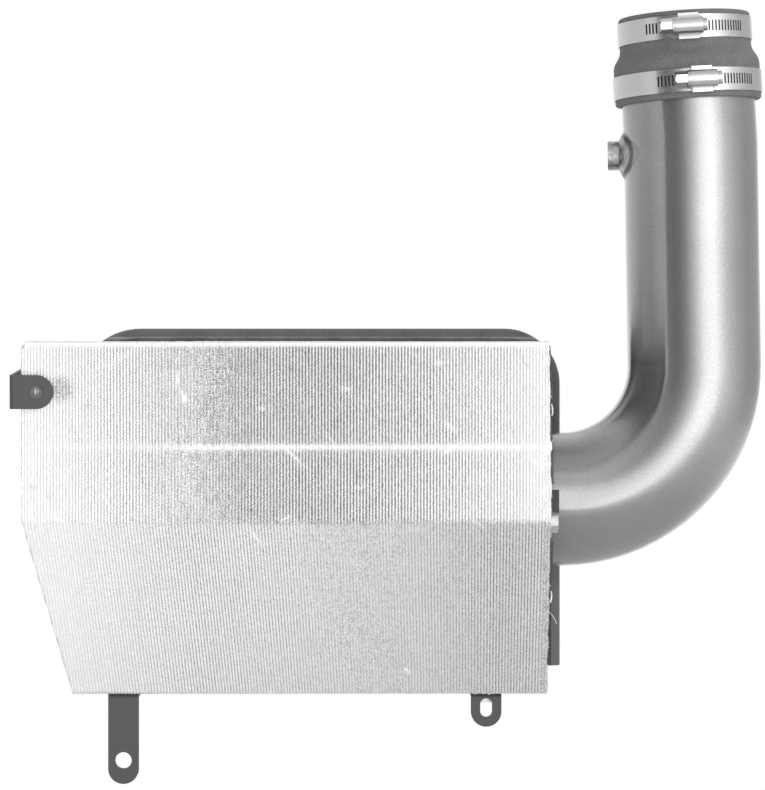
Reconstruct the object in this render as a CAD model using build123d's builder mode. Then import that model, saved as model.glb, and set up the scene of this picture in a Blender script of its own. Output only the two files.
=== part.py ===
from build123d import *
import os
from math import asin, cos, degrees, pi, radians, sin, sqrt, tan

# Cold air intake: a bent metal tube with a rubber outlet coupler, and the heat shield tray
# that it goes through, with a cone filter on its inner end.
# Frame: origin at the centre of the coupler's open mouth, +Z up along the tube's upper leg,
# +X away from the shield, -Y towards the cloth-covered front of the shield.

# Fits
fit = 0.05
hole_clearance = 0.3

# Intake tube
tube_od = 82.5
tube_wall = 2.0
bend_radius = 82.5
outlet_lean = 3.2
upper_lean = 0.9
outlet_turn_radius = 100.0
outlet_straight = 24.4
upper_run_length = 133.4
wall_gap = 10.7
inlet_reach = 52.0

# Bung welded to the upper leg
bung_od = 18.0
bung_bore = 12.0
bung_port = 9.0
bung_seat = 7.0
bung_height = 10.2
bung_drop = 3.3
bung_turn = 4.0
weld_height = 3.4
weld_spread = 6.2
skirt_spread = 16.0
skirt_depth = 8.3

# Rubber outlet coupler
coupler_length = 53.9
coupler_wall = 3.8
outlet_bore = 73.6
tube_seat = 23.6
flare_length = 13.5
flare_shift = 2.2
lip_round = 1.5

# Worm-drive clamps
band_width = 14.0
band_thickness = 0.8
outlet_band_drop = 3.3
tube_band_lift = 3.6
outlet_clamp_turn = -1.7
tube_clamp_turn = 5.7
tail_length = 19.0
band_slots = 13
tail_slots = 8
slot_pitch = 2.3
slot_width = 1.1
slot_height = 6.4
worm_radius = 4.1
worm_clearance = 0.25
worm_tip = 2.6
housing_length = 17.0
housing_wall = 0.9
housing_width = 15.8
foot_length = 12.6
foot_thickness = 1.1
screw_collar = 1.5
screw_collar_rim = 0.6
screw_hex = 8.2
screw_head = 8.0
screw_bevel = 1.1
screw_slot = 1.2

# Heat shield tray, measured from the tube's lower axis
sheet = 2.0
panel_depth = 83.2
panel_width = 314.8
panel_top_rise = 95.1
crease_rise = 33.0
fold_drop = 11.4
panel_bottom_drop = 118.1
top_facet_lean = 2.0
panel_bottom_back = 63.0
panel_corner_radius = 3.0
side_cut_width = 24.7
side_cut_drop = 9.9
tray_width = 283.7
tray_lip = 1.3
tray_corner_left = 29.0
tray_corner_right = 22.0
floor_corner_radius = 4.0
rim_depth = 72.0

# Ribbed cloth on the front panel
cloth_thickness = 1.0
rib_pitch = 1.905
rib_height = 0.8
hem_thickness = 1.2
cloth_overhang = 0.6

# Rubber edging of the rim and of the tube's hole
trim_leg = 2.0
trim_grip = 10.0
bulb_od = 11.6
bulb_wall = 1.7
bulb_sink = 0.3
bulb_setback = 4.0
bulb_bead = 0.9
trim_end_lift = 10.0
tube_hole_gap = 11.8
hole_trim_lip = 3.2
hole_trim_grip = 5.0
hole_trim_web = 2.0
hole_trim_room = 4.0

# Fasteners with a quarter-inch thread
bolt_shank = 6.35
bolt_hex = 11.1
bolt_head = 4.0
nut_height = 5.6
washer_od = 18.0
washer_thickness = 1.6
bolt_tip = 2.0
side_bolt_turn = 17.0

# Tab between the tube and the tray's side wall
tab_thickness = 2.0
tab_height = 14.0
tab_reach = 7.2
tab_eye_radius = 9.5
tab_bolt_drop = 12.2
tab_room = 16.3

# Bracket on the left edge of the front panel
ear_height = 20.2
ear_rise = 66.4
ear_length = 26.1
ear_thickness = 2.0
ear_bend = 2.6
edge_gap = 5.2
leg_length = 92.0
eye_radius = 12.5
eye_hole = 8.5
rivet_flange = 7.4
rivet_flange_height = 0.8
rivet_shank = 6.0
rivet_bore = 4.0
rivet_collar = 9.0
rivet_collar_height = 2.2

# Brackets under the tray's floor
strap_width = 18.8
strap_thickness = 3.0
strap_bend = 4.0
strap_setback = 2.0
strap_inset = 24.3
strap_drop = 56.5
strap_hole = 10.1
strap_hole_rise = 14.5
slot_inset = 36.4
slot_drop = 21.3
slot_size = 7.25
slot_overall = 11.4
slot_end_margin = 6.0
bracket_leg = 48.0
bracket_bolt_near = 16.0
bracket_bolt_far = 36.0

# Cone filter
filter_seat = 36.0
filter_neck_wall = 4.0
filter_base_thickness = 16.0
filter_base_round = 5.0
filter_room = 14.0
filter_end_radius = 50.0
filter_end_room = 50.0
filter_cap_thickness = 12.0
filter_cap_round = 4.0
media_margin = 3.0
pleat_count = 48
pleat_depth = 13.0
media_wall = 3.0
filter_clamp_margin = 6.0

os.makedirs("parts", exist_ok=True)
tube_radius = tube_od / 2

# Outlet axis: through the origin, leaning to the left as it rises
outlet_up = Vector(-sin(radians(outlet_lean)), 0, cos(radians(outlet_lean)))
outlet_side = Vector(cos(radians(outlet_lean)), 0, sin(radians(outlet_lean)))
outlet_profile = Plane(origin=(0, 0, 0), x_dir=outlet_side, z_dir=(0, -1, 0))
tube_end_depth = coupler_length - tube_seat

# Centre line of the tube, from its end in the coupler to its end in the filter
with BuildLine(Plane.XZ) as tube_line:
    tube_top = outlet_up * -tube_end_depth
    outlet_run = Line(tube_top, tube_top - outlet_up * (tube_seat + outlet_straight))
    outlet_turn = JernArc(outlet_run @ 1, outlet_run % 1, outlet_turn_radius, upper_lean - outlet_lean)
    upper_run = Line(outlet_turn @ 1, outlet_turn @ 1 + (outlet_turn % 1) * upper_run_length)
    elbow = JernArc(upper_run @ 1, upper_run % 1, bend_radius, -(90 + upper_lean))
    Line(elbow @ 1, elbow @ 1 + (elbow % 1) * (wall_gap + inlet_reach))

axis_z = (elbow @ 1).Z
wall_x = (elbow @ 1).X - wall_gap
inlet_x = wall_x - inlet_reach
inlet_axis = Axis((inlet_x, 0, axis_z), (1, 0, 0))
tube_start = Plane(origin=tube_line.line @ 0, z_dir=tube_line.line % 0)

# The bung points to the left and a little to the back, square to the upper leg
upper_down = upper_run % 0
upper_left = Vector(-cos(radians(upper_lean)), 0, -sin(radians(upper_lean)))
bung_out = upper_left * cos(radians(bung_turn)) + Vector(0, 1, 0) * sin(radians(bung_turn))
bung_centre = upper_run @ 0 + upper_down * bung_drop
bung_plane = Plane(origin=bung_centre, x_dir=upper_down, z_dir=bung_out)
bung_profile = Plane(origin=bung_centre, x_dir=upper_down, z_dir=upper_down.cross(bung_out))

with BuildPart() as intake_tube:
    with BuildSketch(tube_start):
        Circle(tube_radius)
        Circle(tube_radius - tube_wall, mode=Mode.SUBTRACT)
    sweep(path=tube_line.line)
    with BuildSketch(bung_plane):
        Circle(bung_port / 2)
    extrude(amount=tube_od, mode=Mode.SUBTRACT)
intake_tube.part.label = "intake_tube"
export_step(intake_tube.part, "parts/intake_tube.step")

# The space that the tube fills, for pieces that are cut to sit on it
with BuildPart() as tube_space:
    with BuildSketch(tube_start):
        Circle(tube_radius + fit)
    sweep(path=tube_line.line)

# Turned stub with a stepped bore and a wide weld skirt, cut to sit on the tube
with BuildPart() as tube_bung:
    bung_radius = bung_od / 2
    bung_end = tube_radius + bung_height
    skirt_foot = tube_radius - skirt_depth
    with BuildSketch(bung_profile):
        with BuildLine():
            Polyline(
                (bung_radius + skirt_spread, skirt_foot),
                (bung_port / 2, skirt_foot),
                (bung_port / 2, bung_end - bung_seat),
                (bung_bore / 2, bung_end - bung_seat),
                (bung_bore / 2, bung_end),
                (bung_radius, bung_end),
                (bung_radius, tube_radius + weld_height),
                (bung_radius + weld_spread, tube_radius),
                close=True,
            )
        make_face()
    revolve(axis=Axis(bung_centre, bung_out))
    add(tube_space.part, mode=Mode.SUBTRACT)
tube_bung.part.label = "tube_bung"
export_step(tube_bung.part, "parts/tube_bung.step")

# Moulded reducer: the bore steps from the outlet's size to the tube's in a smooth flare
upper_radius = outlet_bore / 2
lower_radius = tube_radius + fit
flare_bottom = tube_end_depth - fit
flare_top = flare_bottom - flare_length
with BuildPart() as outlet_coupler:
    with BuildSketch(outlet_profile):
        with BuildLine():
            inner = Bezier(
                (upper_radius, -flare_top),
                (upper_radius, -flare_top - flare_length / 2),
                (lower_radius, -flare_top - flare_length / 2),
                (lower_radius, -flare_bottom),
            )
            outer = Bezier(
                (upper_radius + coupler_wall, -flare_top - flare_shift),
                (upper_radius + coupler_wall, -flare_top - flare_shift - flare_length / 2),
                (lower_radius + coupler_wall, -flare_top - flare_shift - flare_length / 2),
                (lower_radius + coupler_wall, -flare_bottom - flare_shift),
            )
            Polyline(inner @ 0, (upper_radius, 0), (upper_radius + coupler_wall, 0), outer @ 0)
            Polyline(
                inner @ 1,
                (lower_radius, -coupler_length),
                (lower_radius + coupler_wall, -coupler_length),
                outer @ 1,
            )
        make_face()
    revolve(axis=Axis((0, 0, 0), outlet_up))
    rings = outlet_coupler.edges().filter_by(GeomType.CIRCLE).group_by(Axis((0, 0, 0), outlet_up))
    fillet([ring.sort_by(SortBy.RADIUS)[-1] for ring in (rings[0], rings[-1])], lip_round)
outlet_coupler.part.label = "outlet_coupler"
export_step(outlet_coupler.part, "parts/outlet_coupler.step")


def worm_clamp(name, seat, hose_radius):
    """Band, housing and worm screw of a clamp. The seat plane lies across the hose at the band's
    middle, with its x axis pointing at the screw housing."""
    band_inner = hose_radius + fit
    band_outer = band_inner + band_thickness
    tail_outer = band_outer + band_thickness
    screw_radius = tail_outer + fit + worm_radius
    tunnel_bore = worm_radius + worm_clearance
    tunnel_radius = tunnel_bore + housing_wall
    housing_turn = degrees(asin(housing_length / 2 / tail_outer))
    tail_turn = degrees(tail_length / tail_outer)
    slot_turn = degrees(slot_pitch / tail_outer)

    with BuildPart(seat) as band:
        with BuildSketch(seat):
            Circle(band_outer)
            Circle(band_inner, mode=Mode.SUBTRACT)
        extrude(amount=band_width / 2, both=True)
        with BuildSketch(seat):
            with BuildLine():
                tail_arc = housing_turn * 2 + tail_turn
                outer_arc = CenterArc((0, 0), tail_outer, -housing_turn - tail_turn, tail_arc)
                inner_arc = CenterArc((0, 0), band_outer, -housing_turn - tail_turn, tail_arc)
                Line(outer_arc @ 0, inner_arc @ 0)
                Line(outer_arc @ 1, inner_arc @ 1)
            make_face()
        extrude(amount=band_width / 2, both=True)
        with PolarLocations(band_outer, band_slots, housing_turn + slot_turn, band_slots * slot_turn):
            Box(3 * band_thickness, slot_width, slot_height, mode=Mode.SUBTRACT)
        with PolarLocations(tail_outer, tail_slots, -housing_turn - slot_turn, -tail_slots * slot_turn):
            Box(5 * band_thickness, slot_width, slot_height, mode=Mode.SUBTRACT)
    band.part.label = f"{name}_band"
    export_step(band.part, f"parts/{name}_band.step")

    across = Plane(origin=seat.from_local_coords((screw_radius, 0, 0)), x_dir=seat.z_dir, z_dir=seat.y_dir)
    foot_top = tail_outer + fit + foot_thickness - screw_radius
    with BuildPart() as housing:
        with BuildSketch(across):
            Circle(tunnel_radius)
            Rectangle(2 * tunnel_radius, screw_radius, align=(Align.CENTER, Align.MAX))
            Circle(tunnel_bore, mode=Mode.SUBTRACT)
            Rectangle(2 * tunnel_bore, screw_radius, align=(Align.CENTER, Align.MAX), mode=Mode.SUBTRACT)
        extrude(amount=housing_length / 2, both=True)
        with BuildSketch(across):
            with Locations((0, foot_top)):
                Rectangle(housing_width, screw_radius, align=(Align.CENTER, Align.MAX))
                Rectangle(2 * tunnel_bore, screw_radius, align=(Align.CENTER, Align.MAX), mode=Mode.SUBTRACT)
        extrude(amount=foot_length / 2, both=True)
        with BuildSketch(seat):
            Circle(tail_outer + fit)
        extrude(amount=housing_width, both=True, mode=Mode.SUBTRACT)
    housing.part.label = f"{name}_housing"
    export_step(housing.part, f"parts/{name}_housing.step")

    collar_radius = tunnel_bore + screw_collar_rim
    collar_plane = across.offset(-housing_length / 2 - fit)
    head_plane = collar_plane.offset(-screw_collar)
    head_end = head_plane.offset(-screw_head)
    corner_radius = screw_hex / sqrt(3)
    with BuildPart() as bevel:
        with BuildSketch(head_plane):
            Circle(corner_radius)
        extrude(amount=-screw_head)
        chamfer(bevel.faces().sort_by_distance(head_end.origin)[0].edges(), screw_bevel)
    with BuildPart() as screw:
        with BuildSketch(head_plane):
            RegularPolygon(screw_hex / 2, 6, major_radius=False)
        extrude(amount=-screw_head)
        add(bevel.part, mode=Mode.INTERSECT)
        with BuildSketch(head_end):
            Rectangle(2 * screw_hex, screw_slot)
        extrude(amount=screw_head / 3, mode=Mode.SUBTRACT)
        with BuildSketch(collar_plane):
            Circle(collar_radius)
        extrude(amount=-screw_collar)
        with BuildSketch(collar_plane):
            Circle(worm_radius)
        extrude(amount=housing_length + fit + worm_tip)
    screw.part.label = f"{name}_screw"
    export_step(screw.part, f"parts/{name}_screw.step")


def outlet_seat(depth, turn):
    """Plane across the outlet at a depth below its mouth, facing the front and turned to the right."""
    front = outlet_side * sin(radians(turn)) + Vector(0, -1, 0) * cos(radians(turn))
    return Plane(origin=outlet_up * -depth, x_dir=front, z_dir=outlet_up)


outlet_band_depth = outlet_band_drop + band_width / 2
tube_band_depth = coupler_length - tube_band_lift - band_width / 2
worm_clamp("outlet_clamp", outlet_seat(outlet_band_depth, outlet_clamp_turn), upper_radius + coupler_wall)
worm_clamp("tube_clamp", outlet_seat(tube_band_depth, tube_clamp_turn), lower_radius + coupler_wall)

# Cone filter on the tube's inner end: moulded base with its neck, pleats and end cap
filter_radius = panel_depth - sheet - filter_room
filter_bore = tube_radius - tube_wall
neck_radius = lower_radius + filter_neck_wall
tray_left = wall_x - tray_width
media_length = inlet_x - filter_base_thickness - (tray_left + sheet + filter_end_room + filter_cap_thickness)
base_left = inlet_x - filter_base_thickness
filter_profile = Plane(origin=(inlet_x, 0, axis_z), x_dir=(1, 0, 0), z_dir=(0, -1, 0))

with BuildPart() as filter_base:
    with BuildSketch(filter_profile):
        with BuildLine():
            Polyline(
                (filter_seat, lower_radius),
                (filter_seat, neck_radius),
                (0, neck_radius),
                (0, filter_radius),
                (-filter_base_thickness, filter_radius),
                (-filter_base_thickness, filter_bore),
                (-fit, filter_bore),
                (-fit, lower_radius),
                close=True,
            )
        make_face()
    revolve(axis=inlet_axis)
    rims = filter_base.edges().filter_by(GeomType.CIRCLE).sort_by(SortBy.RADIUS)[-2:]
    fillet(rims, filter_base_round)
filter_base.part.label = "filter_base"
export_step(filter_base.part, "parts/filter_base.step")

media_radius = filter_radius - media_margin
media_core = media_radius - pleat_depth - media_wall
end_scale = filter_end_radius / media_radius
media_start = Plane(origin=(base_left, 0, axis_z), x_dir=(0, 1, 0), z_dir=(1, 0, 0))
media_end = media_start.offset(-media_length)
with BuildPart() as filter_media:
    for plane, size in ((media_start, 1.0), (media_end, end_scale)):
        with BuildSketch(plane):
            with BuildLine():
                pleats = []
                for step in range(2 * pleat_count):
                    radius = size * (media_radius - pleat_depth * (step % 2))
                    angle = pi * step / pleat_count
                    pleats.append((radius * cos(angle), radius * sin(angle)))
                Polyline(pleats, close=True)
            make_face()
    loft(ruled=True)
    for plane, size in ((media_start, 1.0), (media_end, end_scale)):
        with BuildSketch(plane):
            Circle(size * media_core)
    loft(ruled=True, mode=Mode.SUBTRACT)
filter_media.part.label = "filter_media"
export_step(filter_media.part, "parts/filter_media.step")

with BuildPart() as filter_end_cap:
    with BuildSketch(media_end):
        Circle(filter_end_radius + media_margin)
    extrude(amount=-filter_cap_thickness)
    fillet(filter_end_cap.edges(), filter_cap_round)
filter_end_cap.part.label = "filter_end_cap"
export_step(filter_end_cap.part, "parts/filter_end_cap.step")

filter_band_x = inlet_x + filter_seat - filter_clamp_margin - band_width / 2
filter_seat_plane = Plane(origin=(filter_band_x, 0, axis_z), x_dir=(0, 1, 0), z_dir=(-1, 0, 0))
worm_clamp("filter_clamp", filter_seat_plane, neck_radius)

# Fold line of the front panel's outer face, as depth and height
panel_left = wall_x - panel_width
panel_top = axis_z + panel_top_rise
floor_z = axis_z - panel_bottom_drop
crease_point = (-panel_depth, axis_z + crease_rise)
fold_point = (-panel_depth, axis_z - fold_drop)
top_reach = panel_top_rise - crease_rise
top_point = (-panel_depth - top_reach * tan(radians(top_facet_lean)), panel_top)
bottom_point = (-panel_depth + panel_bottom_back, floor_z)
fold_line = [top_point, crease_point, fold_point, bottom_point]

# Places of the fasteners
hole_radius = tube_radius + tube_hole_gap
tab_bolt = (sheet + tab_room - panel_depth, axis_z - tab_bolt_drop)
strap_y = bottom_point[0] + strap_setback
strap_x = tray_left + strap_inset
slot_x = wall_x - slot_inset
bracket_bolts_at = []
for x in (strap_x, slot_x):
    for y in (strap_y + bracket_bolt_near, strap_y + bracket_bolt_far):
        bracket_bolts_at.append((x, y))
facet_lean = radians(top_facet_lean)
facet_y = -panel_depth - (ear_rise - crease_rise) * tan(facet_lean)
facet_plane = Plane(
    origin=(panel_left, facet_y, axis_z + ear_rise),
    x_dir=(1, 0, 0),
    z_dir=(0, -cos(facet_lean), -sin(facet_lean)),
)
rivet_at = (ear_length - ear_height / 2 - edge_gap - ear_thickness, 0)


def cut_outline(depth_plane, grow):
    """Outline of the front panel seen from the front, with its lower left corner cut away."""
    with BuildSketch(depth_plane) as outline:
        with BuildLine():
            Polyline(
                (panel_left - grow, panel_top),
                (wall_x + grow, panel_top),
                (wall_x + grow, floor_z),
                (panel_left + side_cut_width - grow, floor_z),
                (panel_left - grow, axis_z - side_cut_drop),
                close=True,
            )
        make_face()
        fillet(outline.vertices().group_by(Axis.Y)[-1], panel_corner_radius)
    return outline.sketch


front_plane = Plane.XZ.offset(rim_depth + panel_depth)
cut_depth = 2 * (rim_depth + panel_depth)

# Wall of the tray: right side, top, left side and floor in one band, with its front edge on the panel
with BuildPart() as tray_wall:
    tray_top = panel_top - tray_lip
    with BuildSketch(Plane.XZ.offset(-rim_depth)) as rim:
        with Locations((wall_x, floor_z)):
            Rectangle(tray_width, tray_top - floor_z, align=(Align.MAX, Align.MIN))
        fillet(rim.vertices().group_by(Axis.Y)[-1].sort_by(Axis.X)[-1], tray_corner_right)
        fillet(rim.vertices().group_by(Axis.Y)[-1].sort_by(Axis.X)[0], tray_corner_left)
        fillet(rim.vertices().group_by(Axis.Y)[0], floor_corner_radius)
        offset(amount=-sheet, mode=Mode.SUBTRACT)
    extrude(amount=rim_depth + panel_depth + sheet)
    with BuildSketch(Plane.YZ.offset(panel_left)):
        with BuildLine():
            Polyline(fold_line + [(rim_depth, floor_z), (rim_depth, panel_top)], close=True)
        make_face()
    extrude(amount=panel_width, mode=Mode.INTERSECT)

with BuildPart() as heat_shield:
    with BuildSketch(Plane.YZ.offset(panel_left)):
        with BuildLine():
            front = Polyline(fold_line)
            offset(front, amount=sheet, side=Side.LEFT)
        make_face()
    extrude(amount=panel_width)
    extrude(cut_outline(front_plane, 0), amount=-cut_depth, mode=Mode.INTERSECT)
    add(tray_wall.part)
    with BuildSketch(Plane.YZ.offset(wall_x)):
        with Locations((0, axis_z)):
            Circle(hole_radius)
        with Locations(tab_bolt):
            Circle(bolt_shank / 2 + hole_clearance)
    extrude(amount=-2 * sheet, mode=Mode.SUBTRACT)
    with BuildSketch(Plane.XY.offset(floor_z)):
        with Locations(bracket_bolts_at):
            Circle(bolt_shank / 2 + hole_clearance)
    extrude(amount=2 * sheet, mode=Mode.SUBTRACT)
    with BuildSketch(facet_plane):
        with Locations(rivet_at):
            Circle(rivet_shank / 2 + hole_clearance)
    extrude(amount=-2 * sheet, mode=Mode.SUBTRACT)
heat_shield.part.label = "heat_shield"
export_step(heat_shield.part, "parts/heat_shield.step")

# Ribbed cloth: one zigzag section carried down the folds, each fold on the bisector of its facets
rib_count = round((panel_width + 2 * cloth_overhang) / rib_pitch)
cloth_left = panel_left - cloth_overhang
rib_step = (panel_width + 2 * cloth_overhang) / rib_count


def facet_normal(start, end):
    """Outward normal of a facet that runs down from start to end, both depth and height."""
    along = Vector(0, end[0] - start[0], end[1] - start[1]).normalized()
    return along.cross(Vector(1, 0, 0))


def rib_section(point, outward, stretch):
    """Section of the cloth across its ribs, through a point of the fold line."""
    section_plane = Plane(origin=(0, *point), x_dir=(1, 0, 0), z_dir=Vector(1, 0, 0).cross(outward))
    with BuildSketch(section_plane) as section:
        with BuildLine():
            wave = [(cloth_left + rib_count * rib_step, 0), (cloth_left, 0)]
            for rib in range(rib_count):
                wave.append((cloth_left + rib * rib_step, cloth_thickness * stretch))
                wave.append((cloth_left + (rib + 0.5) * rib_step, (cloth_thickness + rib_height) * stretch))
            wave.append((cloth_left + rib_count * rib_step, cloth_thickness * stretch))
            Polyline(wave, close=True)
        make_face()
    return section.sketch


normals = [facet_normal(fold_line[i], fold_line[i + 1]) for i in range(3)]
with BuildPart() as heat_blanket:
    top_overrun = (top_point[0] - hem_thickness * tan(facet_lean), panel_top + hem_thickness)
    add(rib_section(top_overrun, normals[0], 1.0))
    for i in (1, 2):
        bisector = (normals[i - 1] + normals[i]).normalized()
        add(rib_section(fold_line[i], bisector, 1 / bisector.dot(normals[i])))
    add(rib_section(bottom_point, normals[2], 1.0))
    loft(ruled=True)
    extrude(cut_outline(front_plane, cloth_overhang), amount=-cut_depth, mode=Mode.INTERSECT)
    hem_depth = cloth_thickness + rib_height + sheet
    with BuildSketch(Plane.YZ.offset(panel_left + panel_corner_radius)):
        with Locations((top_point[0] - cloth_thickness - rib_height, panel_top)):
            Rectangle(hem_depth, hem_thickness, align=(Align.MIN, Align.MIN))
    extrude(amount=panel_width - 2 * panel_corner_radius)
    with BuildSketch(facet_plane):
        with Locations(rivet_at):
            Circle(rivet_shank / 2 + hole_clearance)
    extrude(amount=2 * (cloth_thickness + rib_height), mode=Mode.SUBTRACT)
heat_blanket.part.label = "heat_blanket"
export_step(heat_blanket.part, "parts/heat_blanket.step")

# Rubber bulb seal pushed on the tray's rear rim: up the right side, over the top, down the left
with BuildLine(Plane.XZ.offset(-rim_depth)) as rim_path:
    right_side = Line((wall_x, floor_z + trim_end_lift), (wall_x, tray_top - tray_corner_right))
    right_corner = JernArc(right_side @ 1, right_side % 1, tray_corner_right, 90)
    top_side = Line(right_corner @ 1, (tray_left + tray_corner_left, tray_top))
    left_corner = JernArc(top_side @ 1, top_side % 1, tray_corner_left, 90)
    Line(left_corner @ 1, (tray_left, floor_z + trim_end_lift))
with BuildPart() as rim_trim:
    bulb_radius = bulb_od / 2
    bulb_x = trim_leg + bulb_radius - bulb_sink
    grip_width = sheet + 2 * trim_leg
    with BuildSketch(Plane(origin=rim_path.line @ 0, x_dir=(1, 0, 0), z_dir=(0, 0, 1))):
        with Locations((trim_leg, trim_leg)):
            Rectangle(grip_width, trim_grip + trim_leg, align=(Align.MAX, Align.MAX))
        with Locations((fit, fit)):
            slot_span = sheet + 2 * fit
            Rectangle(slot_span, trim_grip + fit, align=(Align.MAX, Align.MAX), mode=Mode.SUBTRACT)
        with Locations((bulb_x, -bulb_setback)):
            Circle(bulb_radius)
            Circle(bulb_radius - bulb_wall, mode=Mode.SUBTRACT)
        with Locations((bulb_x, -bulb_setback - bulb_radius + bulb_bead / 2)):
            Circle(bulb_bead)
    sweep(path=rim_path.line)
rim_trim.part.label = "rim_trim"
export_step(rim_trim.part, "parts/rim_trim.step")

# Split edging round the tube's hole, open at the front where the tab passes
gap_up = degrees(asin((tab_height / 2 + hole_trim_room) / hole_radius))
gap_down = degrees(asin((tab_bolt_drop + washer_od / 2 + hole_trim_room) / hole_radius))
hole_axis = Axis((wall_x, 0, axis_z), (1, 0, 0))
with BuildPart() as hole_trim:
    start_turn = radians(180 - gap_up)
    start_side = Vector(0, cos(start_turn), sin(start_turn))
    start_along = Vector(1, 0, 0).cross(start_side)
    profile_plane = Plane(origin=(wall_x, 0, axis_z), x_dir=(1, 0, 0), z_dir=start_along)
    with BuildSketch(profile_plane):
        with Locations((hole_trim_lip, hole_radius - hole_trim_web)):
            trim_span = sheet + 2 * hole_trim_lip
            Rectangle(trim_span, hole_trim_web + hole_trim_grip, align=(Align.MAX, Align.MIN))
        with Locations((fit, hole_radius - fit)):
            Rectangle(
                sheet + 2 * fit, 2 * hole_trim_grip, align=(Align.MAX, Align.MIN), mode=Mode.SUBTRACT
            )
    revolve(axis=hole_axis, revolution_arc=-(360 - gap_up - gap_down))
hole_trim.part.label = "hole_trim"
export_step(hole_trim.part, "parts/hole_trim.step")

# Tab: a leg bolted inside the side wall, and a saddle that reaches out along the tube
wall_inside = wall_x - sheet
with BuildPart() as tube_tab:
    saddle_back = tube_radius - sqrt(tube_radius**2 - (tab_height / 2) ** 2)
    with BuildSketch(Plane.YZ.offset(wall_inside)):
        with Locations(tab_bolt):
            Circle(tab_eye_radius)
        with Locations((-tube_radius, axis_z)):
            Rectangle(tab_thickness, tab_height, align=(Align.MAX, Align.CENTER))
        make_hull()
        with Locations(tab_bolt):
            Circle(bolt_shank / 2 + hole_clearance, mode=Mode.SUBTRACT)
    extrude(amount=-tab_thickness)
    with BuildSketch(Plane.YZ.offset(wall_inside - tab_thickness)):
        with Locations((-tube_radius + saddle_back, axis_z)):
            Rectangle(tab_thickness + saddle_back, tab_height, align=(Align.MAX, Align.CENTER))
    extrude(amount=tab_thickness + sheet + tab_reach)
    add(tube_space.part, mode=Mode.SUBTRACT)
tube_tab.part.label = "tube_tab"
export_step(tube_tab.part, "parts/tube_tab.step")

with BuildPart() as side_washer:
    with BuildSketch(Plane.YZ.offset(wall_x)):
        with Locations(tab_bolt):
            Circle(washer_od / 2)
            Circle(bolt_shank / 2 + hole_clearance, mode=Mode.SUBTRACT)
    extrude(amount=washer_thickness)
side_washer.part.label = "side_washer"
export_step(side_washer.part, "parts/side_washer.step")

with BuildPart() as side_bolt:
    grip = washer_thickness + sheet + tab_thickness + nut_height + bolt_tip
    with BuildSketch(Plane.YZ.offset(wall_x + washer_thickness)):
        with Locations(tab_bolt):
            RegularPolygon(bolt_hex / 2, 6, major_radius=False, rotation=side_bolt_turn)
    extrude(amount=bolt_head)
    with BuildSketch(Plane.YZ.offset(wall_x + washer_thickness)):
        with Locations(tab_bolt):
            Circle(bolt_shank / 2)
    extrude(amount=-grip)
side_bolt.part.label = "side_bolt"
export_step(side_bolt.part, "parts/side_bolt.step")

with BuildPart() as side_nut:
    with BuildSketch(Plane.YZ.offset(wall_inside - tab_thickness)):
        with Locations(tab_bolt):
            RegularPolygon(bolt_hex / 2, 6, major_radius=False)
            Circle(bolt_shank / 2 + fit, mode=Mode.SUBTRACT)
    extrude(amount=-nut_height)
side_nut.part.label = "side_nut"
export_step(side_nut.part, "parts/side_nut.step")

# Bracket on the panel's left edge: a riveted ear in front, and a leg that runs back to a bolt eye
ear_plane = facet_plane.offset(cloth_thickness + rib_height)
ear_left = -edge_gap - ear_thickness
leg_origin = ear_plane.from_local_coords((ear_left, 0, ear_thickness))
leg_plane = Plane(origin=leg_origin, x_dir=ear_plane.z_dir * -1, z_dir=(1, 0, 0))
with BuildPart() as left_bracket:
    with BuildSketch(ear_plane):
        with Locations((ear_left, 0)):
            Rectangle(rivet_at[0] - ear_left, ear_height, align=(Align.MIN, Align.CENTER))
        with Locations(rivet_at):
            Circle(ear_height / 2)
            Circle(rivet_shank / 2 + hole_clearance, mode=Mode.SUBTRACT)
    extrude(amount=ear_thickness)
    with BuildSketch(leg_plane):
        with Locations((2 * ear_bend, 0)):
            Rectangle(ear_bend, ear_height, align=(Align.MIN, Align.CENTER))
        with Locations((leg_length - eye_radius, 0)):
            Circle(eye_radius)
        make_hull()
        Rectangle(3 * ear_bend, ear_height, align=(Align.MIN, Align.CENTER))
        with Locations((leg_length - eye_radius, 0)):
            Circle(eye_hole / 2, mode=Mode.SUBTRACT)
    extrude(amount=ear_thickness)
    inside_corner = ear_plane.from_local_coords((-edge_gap, 0, 0))
    fillet(left_bracket.edges().sort_by_distance(leg_origin)[0], ear_bend)
    fillet(left_bracket.edges().sort_by_distance(inside_corner)[0], ear_bend - ear_thickness)
left_bracket.part.label = "left_bracket"
export_step(left_bracket.part, "parts/left_bracket.step")

with BuildPart() as left_rivet:
    rivet_grip = ear_thickness + cloth_thickness + rib_height + sheet
    rivet_face = ear_plane.offset(ear_thickness)
    with BuildSketch(rivet_face):
        with Locations(rivet_at):
            Circle(rivet_flange / 2)
    extrude(amount=rivet_flange_height)
    with BuildSketch(rivet_face):
        with Locations(rivet_at):
            Circle(rivet_shank / 2)
    extrude(amount=-rivet_grip - rivet_collar_height)
    with BuildSketch(rivet_face.offset(-rivet_grip)):
        with Locations(rivet_at):
            Circle(rivet_collar / 2)
    extrude(amount=-rivet_collar_height)
    with BuildSketch(rivet_face.offset(rivet_flange_height)):
        with Locations(rivet_at):
            Circle(rivet_bore / 2)
    extrude(amount=-2 * rivet_grip, mode=Mode.SUBTRACT)
left_rivet.part.label = "left_rivet"
export_step(left_rivet.part, "parts/left_rivet.step")


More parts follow.
